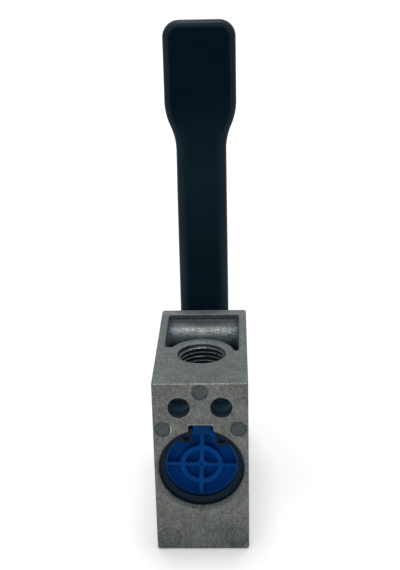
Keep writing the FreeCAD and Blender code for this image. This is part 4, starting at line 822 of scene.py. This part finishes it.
bench, shader, place = new_finish("spring_steel", Metallic=1.0)
edges = bench.group(worn_edges, Place=place, Radius=0.1 * MM, Patch=0.8 * MM, Amount=0.6)
haze = bench.noise(place, 1.6 * MM, 3.0, 0.6)
lines = bench.group(
    fine_scratches, Place=place, Length=3.0 * MM, Width=0.08 * MM, Amount=0.8)["Mask"]
base = bench.tint(bench.ramp(haze, 0.35, 0.65), WIRE_GREY, WIRE_YELLOW)
base = bench.tint(bench.product(lines, 0.5), base, DRAW_LINE)
bench.feed(shader["Base Color"], bench.tint(bench.product(edges["Mask"], 0.5), base, WIRE_EDGE))
bench.feed(shader["Roughness"], bench.ramp(haze, 0.3, 0.7, 0.24, 0.36))
bench.relief(shader, 0.4, 0.008, haze, edges)
dress("spring_steel", "poppet_spring", "return_spring", "pin_clip_left", "pin_clip_right",
      "spring_washer", "supply_strainer")

# %% [markdown]
# ## Rubber seals
#
# The seals are black nitrile rubber: dull, slightly grey, with a film of grease that shines in
# patches. A ramp turns the grease into low roughness.

# %% Rubber seals
RUBBER = colour(34, 35, 36)

bench, shader, place = new_finish("seal_rubber", Specular_IOR_Level=0.4)
skin = bench.group(moulded_skin, Place=place, Grain=0.18 * MM, Flow=2.5 * MM)
grease = bench.ramp(bench.noise(place, 2.2 * MM, 3.0), 0.48, 0.6)
bench.feed(shader["Base Color"], bench.shaded(RUBBER, skin["Shade"]))
bench.feed(shader["Roughness"], bench.ramp(grease, 0.0, 1.0, 0.62, 0.3))
bench.relief(shader, 0.6, 0.012, skin["Height"])
dress("seal_rubber", "end_cap_o_ring", "sleeve_o_ring", "poppet_seal", "poppet_post_seal",
      "tappet_o_ring", "tappet_wiper")

# %% [markdown]
# ## Bearing plastic
#
# The guide and the lever's bushes are a pale acetal, smooth and faintly waxy, a little yellowed
# where the flow of the moulding left it denser.

# %% Bearing plastic
ACETAL_DENSE, ACETAL, ACETAL_EDGE = colour(196, 192, 180), colour(214, 211, 202), colour(236, 235, 230)

bench, shader, place = new_finish("bearing_acetal", Specular_IOR_Level=0.5)
skin = bench.group(moulded_skin, Place=place, Grain=0.3 * MM, Flow=4.0 * MM)
edges = bench.group(worn_edges, Place=place, Radius=0.15 * MM, Patch=1.4 * MM, Amount=0.4)
base = bench.tint(bench.ramp(skin["Shade"], 0.88, 1.12), ACETAL_DENSE, ACETAL)
bench.feed(shader["Base Color"], bench.tint(bench.product(edges["Mask"], 0.3), base, ACETAL_EDGE))
bench.feed(shader["Roughness"], bench.ramp(skin["Shade"], 0.85, 1.15, 0.42, 0.3))
bench.relief(shader, 0.4, 0.01, skin["Height"], edges)
dress("bearing_acetal", "tappet_guide", "lever_bush_left", "lever_bush_right")

# %% [markdown]
# ## Port threads
#
# Both ports are tapped, and the coils of the thread are the brightest thing in the top of the block.
# The CAD holes are plain, at the thread's outer diameter, so the thread is a ridge that stands
# inwards from their wall. Its section is a trapezium. The spin operator turns that section about the
# port's axis, and its dvec moves it down a little at each step, which makes a true helix. A stack
# of separate rings would be simpler, but it would not climb.
#
# At the mouth a cone leads the screw in and cuts the ridge away, so vertices there are pushed out to
# that cone. The ridge sinks a hair into the wall and into the chamfer, to leave no gap.

# %% Port threads: the ridge
THREAD_PITCH, THREAD_TURNS, STEPS = 1.5, 6, 72  # steps to a turn
CREST_RADIUS, SUNK = 7.19, 0.04
RIDGE = (  # radius and height of its corners, in millimetres
    (PORT_RADIUS + SUNK, 0.68), (CREST_RADIUS, 0.12), (CREST_RADIUS, -0.12), (PORT_RADIUS + SUNK, -0.68))
RIDGE_START = -0.35  # nothing of the ridge stands above this, under the mouth
CONE_RADIUS = PORT_RADIUS + PORT_CHAMFER  # at the mouth; lower down it is less by the depth


def placed_piece(name, shape, sharp):
    """Makes an object of a shape in millimetres, smooth but for edges of over sharp degrees."""
    bmesh.ops.scale(shape, vec=(MM, MM, MM), verts=shape.verts)
    mesh = bpy.data.meshes.new(name)
    shape.to_mesh(mesh)
    shape.free()
    mesh.shade_smooth()
    mesh.set_sharp_from_angle(angle=math.radians(sharp))
    piece = bpy.data.objects.new(name, mesh)
    into_scene(piece)
    return piece


def thread_ridge(name, mouth, inward):
    """A helical ridge round a port, from its mouth inwards."""
    ridge = bmesh.new()
    section = [ridge.verts.new((radius, 0.0, height)) for radius, height in RIDGE]
    face = ridge.faces.new(section)
    bmesh.ops.spin(
        ridge, geom=[face, *face.verts, *face.edges], cent=ORIGIN, axis=UP,
        dvec=(0.0, 0.0, -THREAD_PITCH / STEPS), angle=2.0 * math.pi * THREAD_TURNS,
        steps=STEPS * THREAD_TURNS, use_duplicate=False, use_merge=False)
    bmesh.ops.recalc_face_normals(ridge, faces=ridge.faces)
    for vertex in ridge.verts:
        radius = math.hypot(vertex.co.x, vertex.co.y)
        vertex.co.z = min(vertex.co.z, RIDGE_START)
        cone = CONE_RADIUS + vertex.co.z + (SUNK if vertex.co.z > -PORT_CHAMFER else 0.0)
        vertex.co.xy *= max(radius, cone) / radius
    if inward == UP:
        bmesh.ops.rotate(ridge, cent=ORIGIN, matrix=Matrix.Rotation(math.pi, 3, "X"), verts=ridge.verts)
    bmesh.ops.translate(ridge, vec=Vector(mouth) / MM, verts=ridge.verts)
    return placed_piece(name, ridge, 28.0)


threads = {port: thread_ridge(port + "_thread", *PORTS[port]) for port in PORTS}
for piece in threads.values():
    heights = [vertex.co.z / MM for vertex in piece.data.vertices]
    print(piece.name, "from", round(min(heights), 2), "to", round(max(heights), 2), "mm")

# %% [markdown]
# The thread was cut by a tap. Its crests are thin lines of painted highlight over flanks in painted
# shade, and tearing has broken them here and there. The lead-in cone at the mouth was cast with the
# block, so where the ridge lies on that cone it takes the grain and the dull grey of the casting.
# Painted shade darkens what lies between that and the first crest. Radius and depth add up to the
# same length all over the cone, which is how the material finds it.

# %% Port threads: cut metal
LEAD_IN_DEPTH, THROAT_DEPTH = 0.6, 1.6  # where the cast look and the dark line end, in millimetres
FLANK_SHADE, CREST_HIGHLIGHT, THROAT_SHADE = colour(30, 45, 55), colour(150, 162, 168), colour(10, 18, 24)


def cut_thread(name, mouth, inward):
    """Tapped aluminium, with tearing lines round the port's axis, and a cast lead-in."""
    bench, shader, place = new_finish(name, Specular_IOR_Level=0.25)
    away = bench.group(axis_distance, Place=place, Middle=mouth, Direction=inward)
    radius, along = away["Radius"], away["Along"]
    rings = bench.group(tool_rings, Radius=radius, Along=along, Pitch=0.1 * MM)
    grain = bench.group(cast_grain, Place=place, **CAST_LOOK)
    tears = bench.noise(place, 0.7 * MM, 3.0, 0.7)
    on_cone = bench.reach(bench.sum("ADD", radius, along), CONE_RADIUS - 0.1, CONE_RADIUS - 0.04)
    lead_in = bench.product(on_cone, bench.reach(along, LEAD_IN_DEPTH + 0.1, LEAD_IN_DEPTH))
    ridge_top = bench.reach(radius, CREST_RADIUS + 0.15, CREST_RADIUS + 0.03)
    # painted shade in a dark line between the lead-in and the first crest
    throat_shade = bench.product(
        on_cone, bench.reach(along, THROAT_DEPTH + 0.1, THROAT_DEPTH),
        bench.ramp(ridge_top, 0.0, 1.0, 1.0, 0.0))
    # painted highlight on the crests, over flanks in painted shade
    crest_highlight = bench.product(ridge_top, bench.ramp(tears, 0.38, 0.54, 0.25, 1.0))
    shade = bench.product(rings["Shade"], bench.ramp(tears, 0.3, 0.7, 0.6, 1.35))
    base = bench.tint(throat_shade, bench.shaded(bench.tint(crest_highlight, FLANK_SHADE, CREST_HIGHLIGHT), shade), THROAT_SHADE)
    bench.feed(shader["Base Color"], bench.tint(lead_in, base, bench.shaded(MOUTH, grain["Shade"])))
    bench.feed(shader["Metallic"], bench.blended(lead_in, bench.ramp(crest_highlight, 0.0, 1.0, 0.2, 0.9), 0.3))
    bench.feed(shader["Roughness"], bench.ramp(lead_in, 0.0, 1.0, 0.42, 0.66))
    bench.relief(shader, 0.7, 0.03, bench.blended(
        lead_in, bench.sum("ADD", rings["Height"], tears), grain["Height"]))


for port, piece in threads.items():
    cut_thread(piece.name + "_metal", *PORTS[port])
    piece.data.materials.append(bpy.data.materials[piece.name + "_metal"])
    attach(piece, "housing")
    print(piece.name, "rides on the housing")

# %% [markdown]
# ## Springs coiled from wire
#
# Two springs work inside the block. One pushes the rod back against the lever, the other holds the
# seat closed. The CAD solids can't shorten, so at full stroke they would pass through their
# neighbours. Here each is coiled anew from round wire, with the spin operator and a dvec that sets
# the pitch. The first and last half turns lie flatter, so that the spring stands square.

# %% Springs coiled from wire
WIRE_STEPS, WIRE_SIDES = 40, 14  # steps to a turn, and sides of the wire's section
COIL_RADIUS = 6.6  # middle of the wire, in millimetres, in both springs


def squeezed_spring(name, wire, turns):
    """A coil in place of a CAD spring, from wire of that radius in mm."""
    low, high = (Vector(corner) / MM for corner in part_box(name))
    length = high.y - low.y
    flat_rise = 1.02 * wire  # rise of a closing half turn
    rises = ((0.5, flat_rise), (turns - 1.0, length - 2.0 * wire - 2.0 * flat_rise), (0.5, flat_rise))
    coil = bmesh.new()
    section = bmesh.ops.create_circle(coil, cap_ends=True, segments=WIRE_SIDES, radius=wire)["verts"]
    bmesh.ops.translate(coil, vec=(COIL_RADIUS, low.y + wire, AXIS_UP), verts=section)
    moving = [*section, *coil.edges, *coil.faces]
    for share, rise in rises:
        steps = round(WIRE_STEPS * share)
        moving = bmesh.ops.spin(
            coil, geom=moving, cent=(0.0, 0.0, AXIS_UP), axis=REARWARDS,
            dvec=(0.0, rise / steps, 0.0), angle=2.0 * math.pi * share, steps=steps,
            use_duplicate=False, use_merge=False)["geom_last"]
    bmesh.ops.recalc_face_normals(coil, faces=coil.faces)
    piece = placed_piece(name + "_coil", coil, 60.0)
    piece.data.materials.append(bpy.data.materials["spring_steel"])
    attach(piece, "housing")
    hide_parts(name)
    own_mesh(piece)


squeezed_spring("return_spring", 0.6, 3.0)
squeezed_spring("poppet_spring", 0.4, 4.5)

# %% [markdown]
# ## Floor
#
# The photograph was cut out on white, so the floor is pale and is lifted to white only for rays that
# come from the camera or from a reflection. It still takes the soft shadow of the valve. The lift
# grows with the distance from the valve, so that the far floor runs into the white behind it.

# %% Floor
slab = bmesh.new()
bmesh.ops.create_grid(slab, x_segments=8, y_segments=8, size=4.0)
bmesh.ops.translate(slab, vec=(0.0, 0.0, -0.05 * MM), verts=slab.verts)
floor_mesh = bpy.data.meshes.new("floor")
slab.to_mesh(floor_mesh)
slab.free()
floor = bpy.data.objects.new("floor", floor_mesh)
into_scene(floor)


def seen_directly(bench):
    """1 for rays from the camera and for rays of a reflection or through glass."""
    return bench.most(*(bench.add("LightPath", give=f"Is {kind} Ray") for kind in (
        "Camera", "Glossy", "Transmission")))


bench, shader, place = new_finish("pale_floor", Roughness=0.9, Specular_IOR_Level=0.0)
mottle = bench.ramp(bench.noise(place, 0.05), 0.3, 0.7)
bench.feed(shader["Base Color"], bench.tint(mottle, colour(232, 232, 232), colour(236, 236, 236)))
shader["Emission Color"].default_value = (1.0, 1.0, 1.0, 1.0)
lift = bench.ramp(bench.vector("LENGTH", place, give=1), 0.1, 0.9, 0.27, 0.75)
bench.feed(shader["Emission Strength"], bench.product(seen_directly(bench), lift))
floor_mesh.materials.append(bpy.data.materials["pale_floor"])
print("floor width in m:", round(floor.dimensions.x, 1))

# %% [markdown]
# ## Light
#
# The light is what a product table has: a pale room all round and one large lamp overhead, which
# gives the top of the block and the round boss in its pocket their sheen. A weaker one fills in the
# front. The room, like the floor, is white only for rays from the camera or from a reflection.

# %% Light
ROOM = 0.5  # brightness of the room, where 1 is white

world = bpy.data.worlds.new("studio")
world.use_nodes = True
bpy.context.scene.world = world
bench = Bench(world.node_tree)
backdrop = world.node_tree.nodes["Background"].inputs
backdrop["Color"].default_value = (1.0, 1.0, 1.0, 1.0)
bench.feed(backdrop["Strength"], bench.ramp(seen_directly(bench), 0.0, 1.0, ROOM, 1.0))


def soft_lamp(name, place, width, power):
    """A square lamp of the given width in metres, turned towards the block."""
    lamp = bpy.data.objects.new(name, bpy.data.lights.new(name, "AREA"))
    lamp.data.shape, lamp.data.size, lamp.data.energy = "SQUARE", width, power
    lamp.location = place
    aim = Vector((0.0, 0.0, 0.05)) - Vector(place)
    lamp.rotation_euler = aim.to_track_quat("-Z", "Y").to_euler()
    into_scene(lamp)
    print("lamp:", name, power, "W")


soft_lamp("overhead", (0.0, 0.06, 0.85), 0.26, 3.4)
soft_lamp("front_fill", (-0.35, -0.9, 0.7), 0.6, 1.5)
bpy.context.scene.view_settings.view_transform = "Standard"

# %% [markdown]
